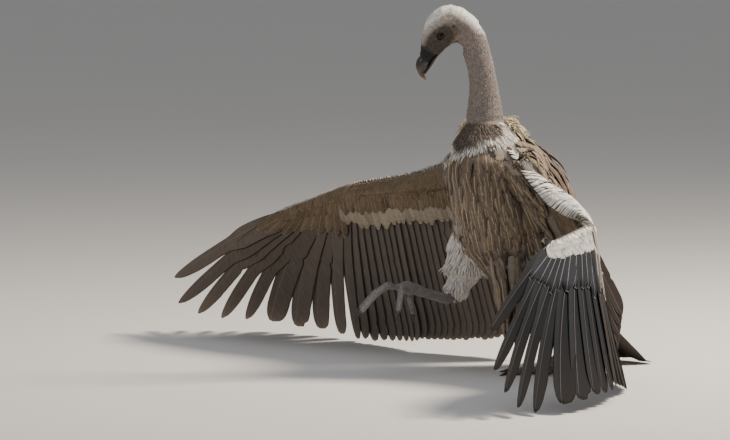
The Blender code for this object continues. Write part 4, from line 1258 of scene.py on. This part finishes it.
def breastTint(roots, facing, rng):
    p = roots - shift
    count = len(roots)
    tint = trunkColours(roots) * (1 + 0.12 * rng.normal(size=(count, 1)))
    for spot, size in paleSpots:
        near = np.exp(-(np.linalg.norm(p - spot, axis=1) / size) ** 2)
        tint = mix(tint, plumage["white"] * 0.8, 0.7 * near)
    line = plumage["streak"] * (1 + 0.12 * rng.normal(size=(count, 1)))
    return tint, line, (0.17, 0.0, 0.0)


def backTint(roots, facing, rng):
    p = roots - shift
    count = len(roots)
    white = smooth(p[:, 1] + 0.35 * (0.30 - p[:, 2]), 0.118, 0.150) * (p[:, 2] < 0.31)
    tint = mix(plumage["back"], plumage["white"], white) * (1 + 0.13 * rng.normal(size=(count, 1)))
    return tint, mix(plumage["backEdge"], plumage["white"], white), (0.07, 0.17, 0.08)


coverSpots = wingSpots(0.0, 0.34)


def underWing(points, reach):
    # where a wing's own coverts already cover the shoulder
    spots, tree = coverSpots
    near = np.full(len(points), False)
    for n in np.nonzero(onTrunk(points) & (np.abs(points[:, 0] - shift[0]) > 0.03))[0]:
        spot, distance = tree.find(points[n])[1:]
        near[n] = distance < reach and 0.04 < spots[spot][1] < 0.62
    return near


def breastPart(centre, normal):
    p = centre - shift
    overThigh = (p[:, 0] < -0.010) & (p[:, 2] < 0.243) & (p[:, 1] < 0.03)
    bare = throatSide(centre) | overThigh | (cropShare(centre)[0] > 0.4)
    return onTrunk(centre) & ~bare & (p[:, 1] < 0.062) & (shoulderWhite(centre) < 0.4) & ~underWing(centre, 0.016)


def backPart(centre, normal):
    p = centre - shift
    bare = (cropShare(centre)[0] > 0.4) | underWing(centre, 0.014)
    return onTrunk(centre) & ~bare & (p[:, 1] >= 0.05) & (shoulderWhite(centre) < 0.4)


def breastGrow(p):
    # short under the throat and beside the wing, longest low on the belly, and kept off the raised thigh
    size = 0.45 + 0.55 * smooth(p[:, 2], 0.425, 0.35) + 0.15 * smooth(p[:, 2], 0.26, 0.19)
    size = size * np.where(underWing(p + shift, 0.034), 0.5, 1.0)
    near, wide = distanceToLine(np.abs(p) * (1, 0, 0) + p * (0, 1, 1) + shift, whiteLines[0])
    size = size * (1 - 0.6 * smooth(near - wide, 0.022, 0.004) * (p[:, 2] > 0.40))
    room = np.maximum(p[:, 2] - 0.236, 0.012) / bodyFeathers["breastPlumes"]["length"]
    return np.where((p[:, 0] < -0.004) & (p[:, 1] < 0.03), np.minimum(size, room), size)


def backGrow(p):
    return 0.6 + 0.5 * smooth(p[:, 2], 0.42, 0.32)


def nearArm(points, reach):
    # the upper arms stand out above the sheet that the coverts follow
    near = np.full(len(points), 9.0)
    for wing in wings.values():
        line = [(*bone, 0.0) for bone in wing["bones"][:3]]
        near = np.minimum(near, distanceToLine(points, line)[0])
    return near < reach


def shoulderPart(centre, normal):
    arm = nearArm(centre, 0.038) & (np.abs(centre[:, 0] - shift[0]) < 0.24)
    return (onTrunk(centre) & underWing(centre, 0.020) | arm) & (shoulderWhite(centre) < 0.6)


def shoulderTint(roots, facing, rng):
    count = len(roots)
    upper = smooth(facing[:, 2], 0.0, 0.5)
    tint = mix(plumage["back"], plumage["lesserDark"], upper)
    return tint * (1 + 0.12 * rng.normal(size=(count, 1))), plumage["backEdge"], (0.05, 0.18, 0.10)


growBody("shoulderFeathers", shoulderPart, shoulderTint, 65, "wing_coverts", "round")
growBody("breastPlumes", breastPart, breastTint, 61, "breast_feathers", grow=breastGrow)
growBody("backPlumes", backPart, backTint, 63, "white_feathers", "round", backGrow)
print("body feathers grown")


downs = {
    "cropDown": {"spacing": 0.0032, "length": 0.013, "half": 0.0013, "rise": 0.0016, "rings": 4, "stray": 0.14},
    "thighDown": {"spacing": 0.0037, "length": 0.016, "half": 0.0026, "rise": 0.0016, "rings": 4, "stray": 0.07},
    "headDown": {"spacing": 0.0021, "length": 0.0038, "half": 0.00042, "rise": 0.0009, "rings": 4, "stray": 0.16},
}


def growDown(name, inside, flow, tintOf, seed, slot, keep=None):
    look, rng = downs[name], np.random.default_rng(seed)
    roots, facing = scatter(skin, inside, look["spacing"], seed)
    if keep is not None:
        kept = rng.random(len(roots)) < keep(roots)
        roots, facing = roots[kept], facing[kept]
    count = len(roots)
    way = unit(flow(roots, facing) + look["stray"] * rng.normal(size=(count, 3)))
    length = look["length"] * (1 + 0.2 * rng.normal(size=count))
    rise = look["rise"] * (1 + 0.4 * rng.random(count))
    path, up = shortPaths(roots, facing, way, length, rise, look["rings"])
    half = look["half"] * (1 + 0.2 * rng.normal(size=count))
    left, right = widths(count, look["rings"], "tuft", half, seed, 0.1)
    looks = looksOf(tintOf(roots, rng), plumage["white"], 0.02, 0.05, 0.05)
    thing = featherMesh(name, path, up, left, right, "down", left * 0.35, left * 0.2, looks, bodyBake(roots),
                        vanes["down"])
    return addPiece(thing, slot)


def cropPart(centre, normal):
    downy = (cropShare(centre)[0] > 0.02) | (shoulderWhite(centre) > 0.2) | throatSide(centre)
    return onTrunk(centre) & downy


def cropTint(roots, rng):
    share, above = cropShare(roots)
    crease = np.maximum(np.exp(-((above - 0.001) / 0.0060) ** 2) * (share > 0), shoulderWhite(roots))
    tint = plumage["crop"] * (1 + 0.16 * rng.normal(size=(len(roots), 1)))
    return mix(tint, plumage["white"], crease)


def thighPart(centre, normal):
    return zonesOf(centre)[2]


def thighTint(roots, rng):
    return plumage["thigh"] * (1 + 0.05 * rng.normal(size=(len(roots), 1)))


def thighFlow(points, facing):
    return unit(bodyFlow(points, facing) + (0, 0, -0.8))


def headPart(centre, normal):
    onHead, onNeck = zonesOf(centre)[:2]
    f, u = inHead(centre)[:2]
    return (onHead | onNeck) & ~(onHead & (f > 0.040) & (u < 0.022)) & ~(onHead & (f > 0.055))


def downShare(points):
    # thick on the crown and nape, thin down the neck, nearly none on the face
    f, u = inHead(points)[:2]
    p = points - shift
    onHead, onNeck = zonesOf(points)[:2]
    crown = smooth(u - 0.25 * f, 0.004, 0.022) * onHead
    nape = smooth(-f, 0.004, 0.024) * (p[:, 2] > 0.44)
    neck = np.where(onNeck, 0.72 + 0.2 * smooth(waver(points, 0.03, 81), 0.0, 0.9), 0.0)
    return np.clip(np.maximum(np.maximum(crown, nape * 0.75), neck), 0.03, 1)


def headTint(roots, rng):
    count, onHead = len(roots), zonesOf(roots)[0]
    white = np.where(onHead, 0.75 * downShare(roots), 0.16 + 0.30 * rng.random(count) ** 2)
    tint = mix(headColours(roots), plumage["crown"], np.clip(white, 0.1, 1))
    return tint * (1 + 0.06 * rng.normal(size=(count, 1)))


def neckFlow(points, facing):
    # down runs back over the crown and down the neck
    return unit(mix(np.array((0.0, 0.0, -1.0)), -headAhead, zonesOf(points)[0].astype(float)))


growDown("cropDown", cropPart, bodyFlow, cropTint, 91, "crop")
growDown("thighDown", thighPart, thighFlow, thighTint, 92, "thigh_down")
growDown("headDown", headPart, neckFlow, headTint, 93, "head_and_neck_skin", downShare)
print("down grown")


ruff = {
    "count": 460, "rings": 10, "length": 0.046, "half": 0.0017, "top": 0.440,
    "round": (26, 196),  # degrees it goes round the neck, from the left and behind it to the right
}


def growRuff():
    rng = np.random.default_rng(101)
    count, s = ruff["count"], np.linspace(0, 1, ruff["rings"])
    angle = np.radians(rng.uniform(*ruff["round"], count))
    out = np.stack([np.cos(angle), np.sin(angle), np.zeros(count)], -1)
    root = (*neckBase, 0.0) + out * rng.uniform(0.030, 0.046, (count, 1))
    root[:, 2] = ruff["top"] - (np.linalg.norm(root[:, :2] - neckBase, axis=1) - 0.030) * 0.9
    rise = rng.uniform(0.1, 1.0, count)
    behind = np.sin(np.clip((angle - 0.2) / 3.4, 0, 1) * math.pi)  # longest behind the neck
    length = ruff["length"] * rng.uniform(0.55, 1.0, count) * (0.55 + 0.45 * behind)
    way = unit(out + np.stack([0 * rise, 0 * rise, rise * 0.9], -1) + 0.25 * rng.normal(size=(count, 3)))
    path = root[:, None] + way[:, None] * (length[:, None] * s)[..., None]
    path[..., 2] -= (length * (0.55 + 0.55 * rng.random(count)))[:, None] * s ** 2
    curl = 0.0014 * np.sin(s * 9 + rng.uniform(0, 6, (count, 1)))
    sideways = np.cross(way, (0, 0, 1.0))
    path = path + curl[..., None] * unit(sideways)[:, None]
    path = path + shift
    up = np.repeat(unit(np.cross(sideways, way))[:, None], len(s), 1)
    left, right = widths(count, len(s), "plume", ruff["half"] * rng.uniform(0.6, 1.2, count), 102, 0.25)
    tint = plumage["ruff"] * (1 + 0.16 * rng.normal(size=(count, 1)))
    thing = featherMesh("ruffPlumes", path, up, left, right, "down", left * 0.3, left * 0.2,
                        looksOf(tint, plumage["white"], 0.05, 0.2, 0.2), bodyBake(path[:, 0]), vanes["down"])
    return addPiece(thing, "ruff_plumes", "ruff")


growRuff()
print("ruff grown")


def scapularPart(centre, normal):
    p = centre - shift
    return onTrunk(centre) & (p[:, 2] > 0.295) & (p[:, 2] < 0.425) & (np.abs(p[:, 0]) > 0.030) & (
        p[:, 1] > 0.020) & (normal[:, 1] > -0.3) & (shoulderWhite(centre) < 0.2) & ~underWing(centre, 0.020)


def scapularTint(roots, facing, rng):
    count = len(roots)
    tint = plumage["back"] * (0.9 + 0.14 * rng.normal(size=(count, 1)))
    return tint, plumage["backEdge"] * 1.15, (0.05, 0.20, 0.10)


growBody("scapularFeathers", scapularPart, scapularTint, 111, "white_feathers", "round")

flankPlumes = {
    "count": 72, "rings": 12, "half": 0.0068,
    "top": np.array((.062, -.048, .192)), "run": np.array((.006, .006, -.150)),  # where they hang from, and how far
}


def growFlankPlumes():
    rng = np.random.default_rng(121)
    count, s = flankPlumes["count"], np.linspace(0, 1, flankPlumes["rings"])
    angle = rng.uniform(0, 2 * math.pi, count)
    out = np.stack([np.cos(angle), np.sin(angle), np.zeros(count)], -1)
    start = rng.uniform(-0.12, 0.45, count)
    length = np.minimum(rng.uniform(0.40, 0.66, count), 0.995 - start)
    run = start[:, None] + length[:, None] * s
    bunch = 0.036 - 0.026 * np.clip(run, 0, 1) ** 1.2
    lift = bunch * (0.55 + 0.45 * rng.random((count, 1)))
    path = flankPlumes["top"] + flankPlumes["run"] * run[..., None] + out[:, None] * lift[..., None]
    drift = np.cross(out, (0, 0, 1.0))[:, None] * (0.004 * rng.normal(size=(count, 1)) * s ** 1.5)[..., None]
    path = path + drift + shift
    up = np.repeat(out[:, None], len(s), 1)
    half = flankPlumes["half"] * (1 + 0.15 * rng.normal(size=count))
    left, right = widths(count, len(s), "lance", half, 122, 0.10)
    tint, line, marks = breastTint(path[:, 0], out, rng)
    thing = featherMesh("flankPlumes", path, up, left, right, "plume", np.full(left.shape, 0.0004), left * 0.05,
                        looksOf(tint, line, *marks), bodyBake(path[:, 0]), vanes["plume"])
    return addPiece(thing, "breast_feathers", "flank_plumes")


growFlankPlumes()


tailCoverts = {"rings": 8, "half": 0.0115, "lengths": {"above": (.075, .095), "below": (.060, .080)}}


def growTailCoverts():
    rng = np.random.default_rng(131)
    rows, run = [], tail["tip"] - tail["root"]
    up = unit(np.cross(run, (-1.0, 0, 0)))
    for sign, where in ((1, "above"), (-1, "below")):
        for n, length in enumerate(tailCoverts["lengths"][where]):
            for u in np.linspace(-0.92, 0.92, 9 - n):
                rows.append((u, -0.16 + 0.17 * n, length * (1 + 0.08 * rng.normal()), sign, 0.006 - 0.002 * n))
    u, start, length, sign, lift = (column[:, None] for column in np.array(rows).T)
    count, s = len(rows), np.linspace(0, 1, tailCoverts["rings"])
    along = start + length * s / np.linalg.norm(run)
    wide = tail["sides"][0] + (tail["sides"][1] - tail["sides"][0]) * np.clip(along, 0, 1)
    path = tail["root"] + run * along[..., None]
    path[..., 0] += wide * u * 0.9
    off = (lift * (1 - s * 0.55) + 0.0058 * (1 - np.abs(u)) * (sign > 0)) * sign
    path = path + up * off[..., None] + shift
    ups = np.broadcast_to(up, path.shape) * sign[..., None]
    left, right = widths(count, len(s), "round", np.full(count, tailCoverts["half"]), 132, 0.06)
    tint = plumage["white"] * (0.9 + 0.08 * rng.normal(size=(count, 1)))
    tint = mix(tint, plumage["back"], 0.35 * rng.random(count))
    looks = looksOf(tint, plumage["backEdge"], 0.06, 0.15, 0.06)
    thing = featherMesh("tailCoverts", path, ups, left, right, "plume", np.full(left.shape, 0.0005), left * 0.10,
                        looks, bodyBake(path[:, 0]), vanes["covert"])
    return addPiece(thing, "white_feathers")


growTailCoverts()
print("scapulars, flank plumes and tail coverts grown")


hornLook = {"dark": "2c2725", "brown": "5b4a3a", "rim": "cdbd9c", "clawDark": "211f20", "clawTip": "3d3732"}


def hornMaterial(name, coat, grooves):
    # keratin horn: smooth and waxy, with fine growth lines along it that break up the shine
    material, tree, shader = startMaterial(name, Roughness=0.34, IOR=1.54, Coat_Weight=coat, Coat_Roughness=0.25)
    tint = addNode(tree, "Attribute", attribute_name="tint")
    place = addNode(tree, "TexCoord").outputs["Object"]
    lines = addNode(tree, "TexNoise", {"Scale": grooves, "Detail": 4.0, "Distortion": 0.4}, {"Vector": place})
    relief = addNode(tree, "Bump", {"Strength": 0.25, "Distance": 0.0003}, {"Height": lines})
    breakUp(tree, shader, tint, lines, 0.78, 1.22)
    tree.links.new(relief.outputs[0], shader.inputs["Normal"])
    return material


def smoothCopy(node, name, levels):
    # the CAD node's own shape, with its facets made into one round surface
    copy = bpy.data.objects.new(name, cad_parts[node].data.copy())
    bpy.context.scene.collection.objects.link(copy)
    copy.data.materials.clear()
    chooseOnly(copy)
    bpy.ops.object.mode_set(mode="EDIT")
    bpy.ops.mesh.select_all(action="SELECT")
    bpy.ops.mesh.remove_doubles(threshold=0.00002)
    bpy.ops.mesh.tris_convert_to_quads(face_threshold=math.radians(50), shape_threshold=math.radians(60))
    bpy.ops.object.mode_set(mode="OBJECT")
    applyModifier(copy, "SUBSURF", levels=levels, render_levels=levels)
    copy.data.shade_smooth()
    return copy


def makeUpperBill():
    bill = smoothCopy("bill_upper", "billUpper", 3)
    points = pointsOf(bill)
    f, u, l = inHead(points)
    back = smooth(f, 0.0835, 0.0785)  # the root of the horn runs back under the bare skin
    points = points - headAhead * (0.006 * back)[:, None]
    points = points - headLeft * (l * 0.10 * back)[:, None]
    f, u, l = inHead(points)
    cuttingEdge = np.exp(-((u + 0.0072 - 0.18 * (f - 0.09)) / 0.0012) ** 2) * smooth(f, 0.105, 0.094)
    points = points + (headLeft * np.sign(l)[:, None]) * (0.0007 * cuttingEdge)[:, None]
    setPoints(bill, points)
    f, u, l = inHead(points)
    upward = normalsOf(bill) @ headUp + normalsOf(bill) @ headAhead
    ridge = smooth(np.abs(l), 0.0034, 0.0016) * smooth(upward, 0.5, 1.1)
    edge = smooth(u + 0.5 * np.maximum(f - 0.094, 0), -0.0075, -0.0098) * smooth(f, 0.100, 0.094)
    tip = smooth(f - u * 0.6, 0.1080, 0.1160)
    colour = mix(linear(hornLook["dark"]), linear(hornLook["brown"]), smooth(f, 0.086, 0.106) * 0.6)
    colour = mix(colour, linear(hornLook["rim"]), np.clip(0.75 * ridge + 0.55 * edge + 0.35 * tip, 0, 0.9))
    paintPoints(bill.data, "tint", colour)
    bill.data.materials.append(horn)
    return addPiece(bill, "bill_horn", "bill_upper")


def makeLowerBill():
    bill = smoothCopy("bill_lower", "billLower", 3)
    points = pointsOf(bill)
    f, u = inHead(points)[:2]
    points = points + headUp * (0.0016 * smooth(u, -0.0130, -0.0098))[:, None]
    points = points - headAhead * (0.004 * smooth(f, 0.066, 0.062))[:, None]
    setPoints(bill, points)
    colour = mix(linear(hornLook["dark"]), linear(hornLook["brown"]), np.full(len(f), 0.35))
    paintPoints(bill.data, "tint", colour)
    bill.data.materials.append(horn)
    return addPiece(bill, "bill_horn", "bill_lower")


def makeClaws():
    for side in ("left", "right"):
        for toe in ("middle", "inner", "outer", "hind"):
            claw = smoothCopy(f"claw_{toe}_{side}", f"claw{toe.title()}{side.title()}", 2)
            points = pointsOf(claw)
            tone = smooth(waver(points, 0.008, 61), -0.6, 0.8)
            paintPoints(claw.data, "tint", mix(linear(hornLook["clawDark"]),
                                               linear(hornLook["clawTip"]), tone))
            claw.data.materials.append(clawHorn)
            addPiece(claw, "claw_horn", f"claw_{toe}_{side}")


def eyeMaterial():
    # a wet dark eye: brown iris round a black pupil under a clear cornea that mirrors the light
    material, tree, shader = startMaterial("wetDarkEye", Roughness=0.5, IOR=1.38, Specular_IOR_Level=0.05,
                                           Coat_Weight=0.8, Coat_Roughness=0.02, Coat_IOR=1.38)
    flat = addNode(tree, "UVMap", uv_map="iris")
    centred = addNode(tree, "VectorMath", {1: (0.5, 0.5, 0)}, {0: flat}, operation="SUBTRACT")
    away = addNode(tree, "VectorMath", links={0: centred}, operation="LENGTH").outputs["Value"]
    rays = addNode(tree, "TexNoise", {"Scale": 26.0, "Detail": 3.0}, {"Vector": centred})
    wobble = addNode(tree, "Math", {1: 0.03, 2: -0.015}, {0: rays}, operation="MULTIPLY_ADD")
    radius = addNode(tree, "Math", links={0: away, 1: wobble}, operation="ADD")
    ramp = addNode(tree, "ValToRGB", links={"Fac": radius})
    stops = ((0.0, "030303"), (0.150, "040303"), (0.170, "20130b"), (0.27, "33200f"), (0.33, "150e0a"),
             (0.37, "0c0908"))  # pupil, iris, dark rim
    while len(ramp.color_ramp.elements) < len(stops):
        ramp.color_ramp.elements.new(0.5)
    for element, (place, shade) in zip(ramp.color_ramp.elements, stops):
        element.position, element.color = place, (*linear(shade), 1)
    tree.links.new(ramp.outputs[0], shader.inputs["Base Color"])
    return material


def makeEyes():
    wet = eyeMaterial()
    for side, sign in (("left", 1), ("right", -1)):
        centre = fromHead(*head["eye"], sign * head["eyeSide"])
        bpy.ops.object.select_all(action="DESELECT")
        bpy.ops.mesh.primitive_uv_sphere_add(segments=48, ring_count=28, radius=head["eyeRadius"],
                                             location=centre)
        eye = bpy.context.active_object
        eye.name = eye.data.name = f"eye{side.title()}"
        bpy.ops.object.transform_apply(location=True, rotation=False, scale=False)
        points = pointsOf(eye)
        f, u, l = inHead(points)
        off = around(f, u, head["eye"])
        cornea = np.exp(-(off / 0.0036) ** 2) * (l * sign > head["eyeSide"])
        setPoints(eye, points + headLeft * (sign * 0.0006 * cornea)[:, None])
        flat = np.stack([f - head["eye"][0], u - head["eye"][1]], -1) / (2 * head["eyeRadius"]) + 0.5
        corners = np.empty(len(eye.data.loops), int)
        eye.data.loops.foreach_get("vertex_index", corners)
        eye.data.uv_layers.new(name="iris").data.foreach_set("uv", flat[corners].astype(np.float32).ravel())
        eye.data.materials.append(wet)
        eye.data.shade_smooth()
        addPiece(eye, "eye", f"eye_{side}")


horn = hornMaterial("waxyBillHorn", 0.35, 420.0)
clawHorn = hornMaterial("dullClawHorn", 0.15, 520.0)
makeUpperBill()
makeLowerBill()
makeClaws()
makeEyes()
print("bill, claws and eyes made")


legScales = {"spacing": 0.0026, "rings": 4, "length": 0.0030, "half": 0.0013, "thick": 0.00022, "rise": 0.0002}


def legPart(centre, normal):
    return (bareLeg(centre, "left") > 0.6) | (bareLeg(centre, "right") > 0.6)


def legFlow(points, facing):
    # scales lie from the heel towards the claws
    right = bareLeg(points, "right") > bareLeg(points, "left")
    way = np.where(right[:, None], (0.0, -1.0, 0.05), (0.02, -0.35, -1.0))
    return unit(way - facing * dotted(way, facing))


def legMaterial():
    # horny scales over tendon: dry, slightly waxy and grey, a little darker and lighter in fine wear
    material, tree, shader = startMaterial("dryLegScales", Roughness=0.5, IOR=1.5, Coat_Weight=0.1, Coat_Roughness=0.4)
    tint = addNode(tree, "Attribute", attribute_name="tint")
    place = addNode(tree, "TexCoord").outputs["Object"]
    wear = addNode(tree, "TexNoise", {"Scale": 700.0, "Detail": 4.0}, {"Vector": place})
    relief = addNode(tree, "Bump", {"Strength": 0.3, "Distance": 0.0002}, {"Height": wear})
    breakUp(tree, shader, tint, wear, 0.75, 1.25)
    tree.links.new(relief.outputs[0], shader.inputs["Normal"])
    return material


def growScales():
    rng = np.random.default_rng(141)
    roots, facing = scatter(skin, legPart, legScales["spacing"], 141)
    count, rings = len(roots), legScales["rings"]
    way = unit(legFlow(roots, facing) + 0.10 * rng.normal(size=(count, 3)))
    length, rise, half = (np.full(count, legScales[key]) for key in ("length", "rise", "half"))
    path, up = shortPaths(roots, facing, way, length, rise, rings)
    path = path + facing[:, None] * 0.0006
    path[..., 2] = np.maximum(path[..., 2], 0.0010)
    left, right = widths(count, rings, "round", half, 142, 0.05)
    tint = np.clip(plumage["leg"] * (1 + 0.08 * rng.normal(size=(count, 1))), 0, 1)
    thick = np.full(left.shape, legScales["thick"])
    thing = featherMesh("legScales", path, up, left, right, "down", thick, left * 0.15, {"tint": tint},
                        bodyBake(roots), legMaterial())
    return addPiece(thing, "leg_scales")


growScales()
print("leg scales grown")


studio = {
    "floorSize": 160.0, "floorColour": "e6e3de", "worldColour": "e6e8ec", "worldStrength": 0.34,
    # each light: azimuth and height it shines from, distance, size, power (W), colour
    "lights": {
        "keyLight": (150, 50, 3.2, 1.0, 200, "fff3e2"), "fillLight": (2, 30, 4.5, 1.8, 20, "e8eefc"),
        "skyLight": (50, 88, 3.6, 3.0, 24, "f4f6ff"),
    },
    "camera": {"azimuth": 50, "elevation": 4, "distance": 12.0, "frameWidth": 1.2775, "sensor": 36.0,
               "aimRight": -0.245, "aimUp": 0.26425},
}


def fromView(azimuth, elevation):
    a, e = math.radians(azimuth), math.radians(elevation)
    return Vector((math.sin(a) * math.cos(e), -math.cos(a) * math.cos(e), math.sin(e)))


def makeStudio():
    bpy.ops.mesh.primitive_plane_add(size=studio["floorSize"], location=(0, 0, 0))
    floor = bpy.context.active_object
    floor.name = "studioFloor"
    material, tree, shader = startMaterial("mattPaperSweep", Roughness=0.92)
    place = addNode(tree, "TexCoord").outputs["Object"]
    paper = addNode(tree, "TexNoise", {"Scale": 3.0, "Detail": 2.0}, {"Vector": place})
    tone = addNode(tree, "MapRange", {"To Min": 0.985, "To Max": 1.015}, {"Value": paper})
    tint = addNode(tree, "Mix", {"Factor": 1.0, 6: (*linear(studio["floorColour"]), 1)}, {7: tone},
                   data_type="RGBA", blend_type="MULTIPLY")
    tree.links.new(tint.outputs[2], shader.inputs["Base Color"])
    floor.data.materials.append(material)
    world = bpy.data.worlds.new("paleStudio")
    world.use_nodes = True
    world.node_tree.nodes["Background"].inputs[0].default_value = (*linear(studio["worldColour"]), 1)
    world.node_tree.nodes["Background"].inputs[1].default_value = studio["worldStrength"]
    bpy.context.scene.world = world
    breastAt = Vector(shift) + Vector((0, 0, 0.3))
    for name, (azimuth, height, distance, size, power, colour) in studio["lights"].items():
        bpy.ops.object.light_add(type="AREA", location=breastAt + fromView(azimuth, height) * distance)
        lamp = bpy.context.active_object
        lamp.name = name
        lamp.data.shape, lamp.data.size, lamp.data.energy = "DISK", size, power
        lamp.data.color = linear(colour)
        lamp.visible_camera = False
        lamp.rotation_mode = "QUATERNION"
        lamp.rotation_quaternion = fromView(azimuth, height).to_track_quat("Z", "Y")


def makeCamera():
    look = studio["camera"]
    back = fromView(look["azimuth"], look["elevation"])
    right = Vector(rightWay)
    aim = Vector(shift) + right * look["aimRight"] + back.cross(right) * look["aimUp"]
    bpy.ops.object.camera_add(location=aim + back * look["distance"])
    camera = bpy.context.active_object
    camera.rotation_mode = "QUATERNION"
    camera.rotation_quaternion = back.to_track_quat("Z", "Y")
    camera.data.sensor_width = look["sensor"]
    camera.data.lens = look["sensor"] * look["distance"] / look["frameWidth"]
    camera.data.clip_end = 400.0
    bpy.context.scene.camera = camera


makeStudio()
makeCamera()
for piece in shownPieces:
    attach(piece, "root")
print("studio and camera set:", len(shownPieces), "pieces")
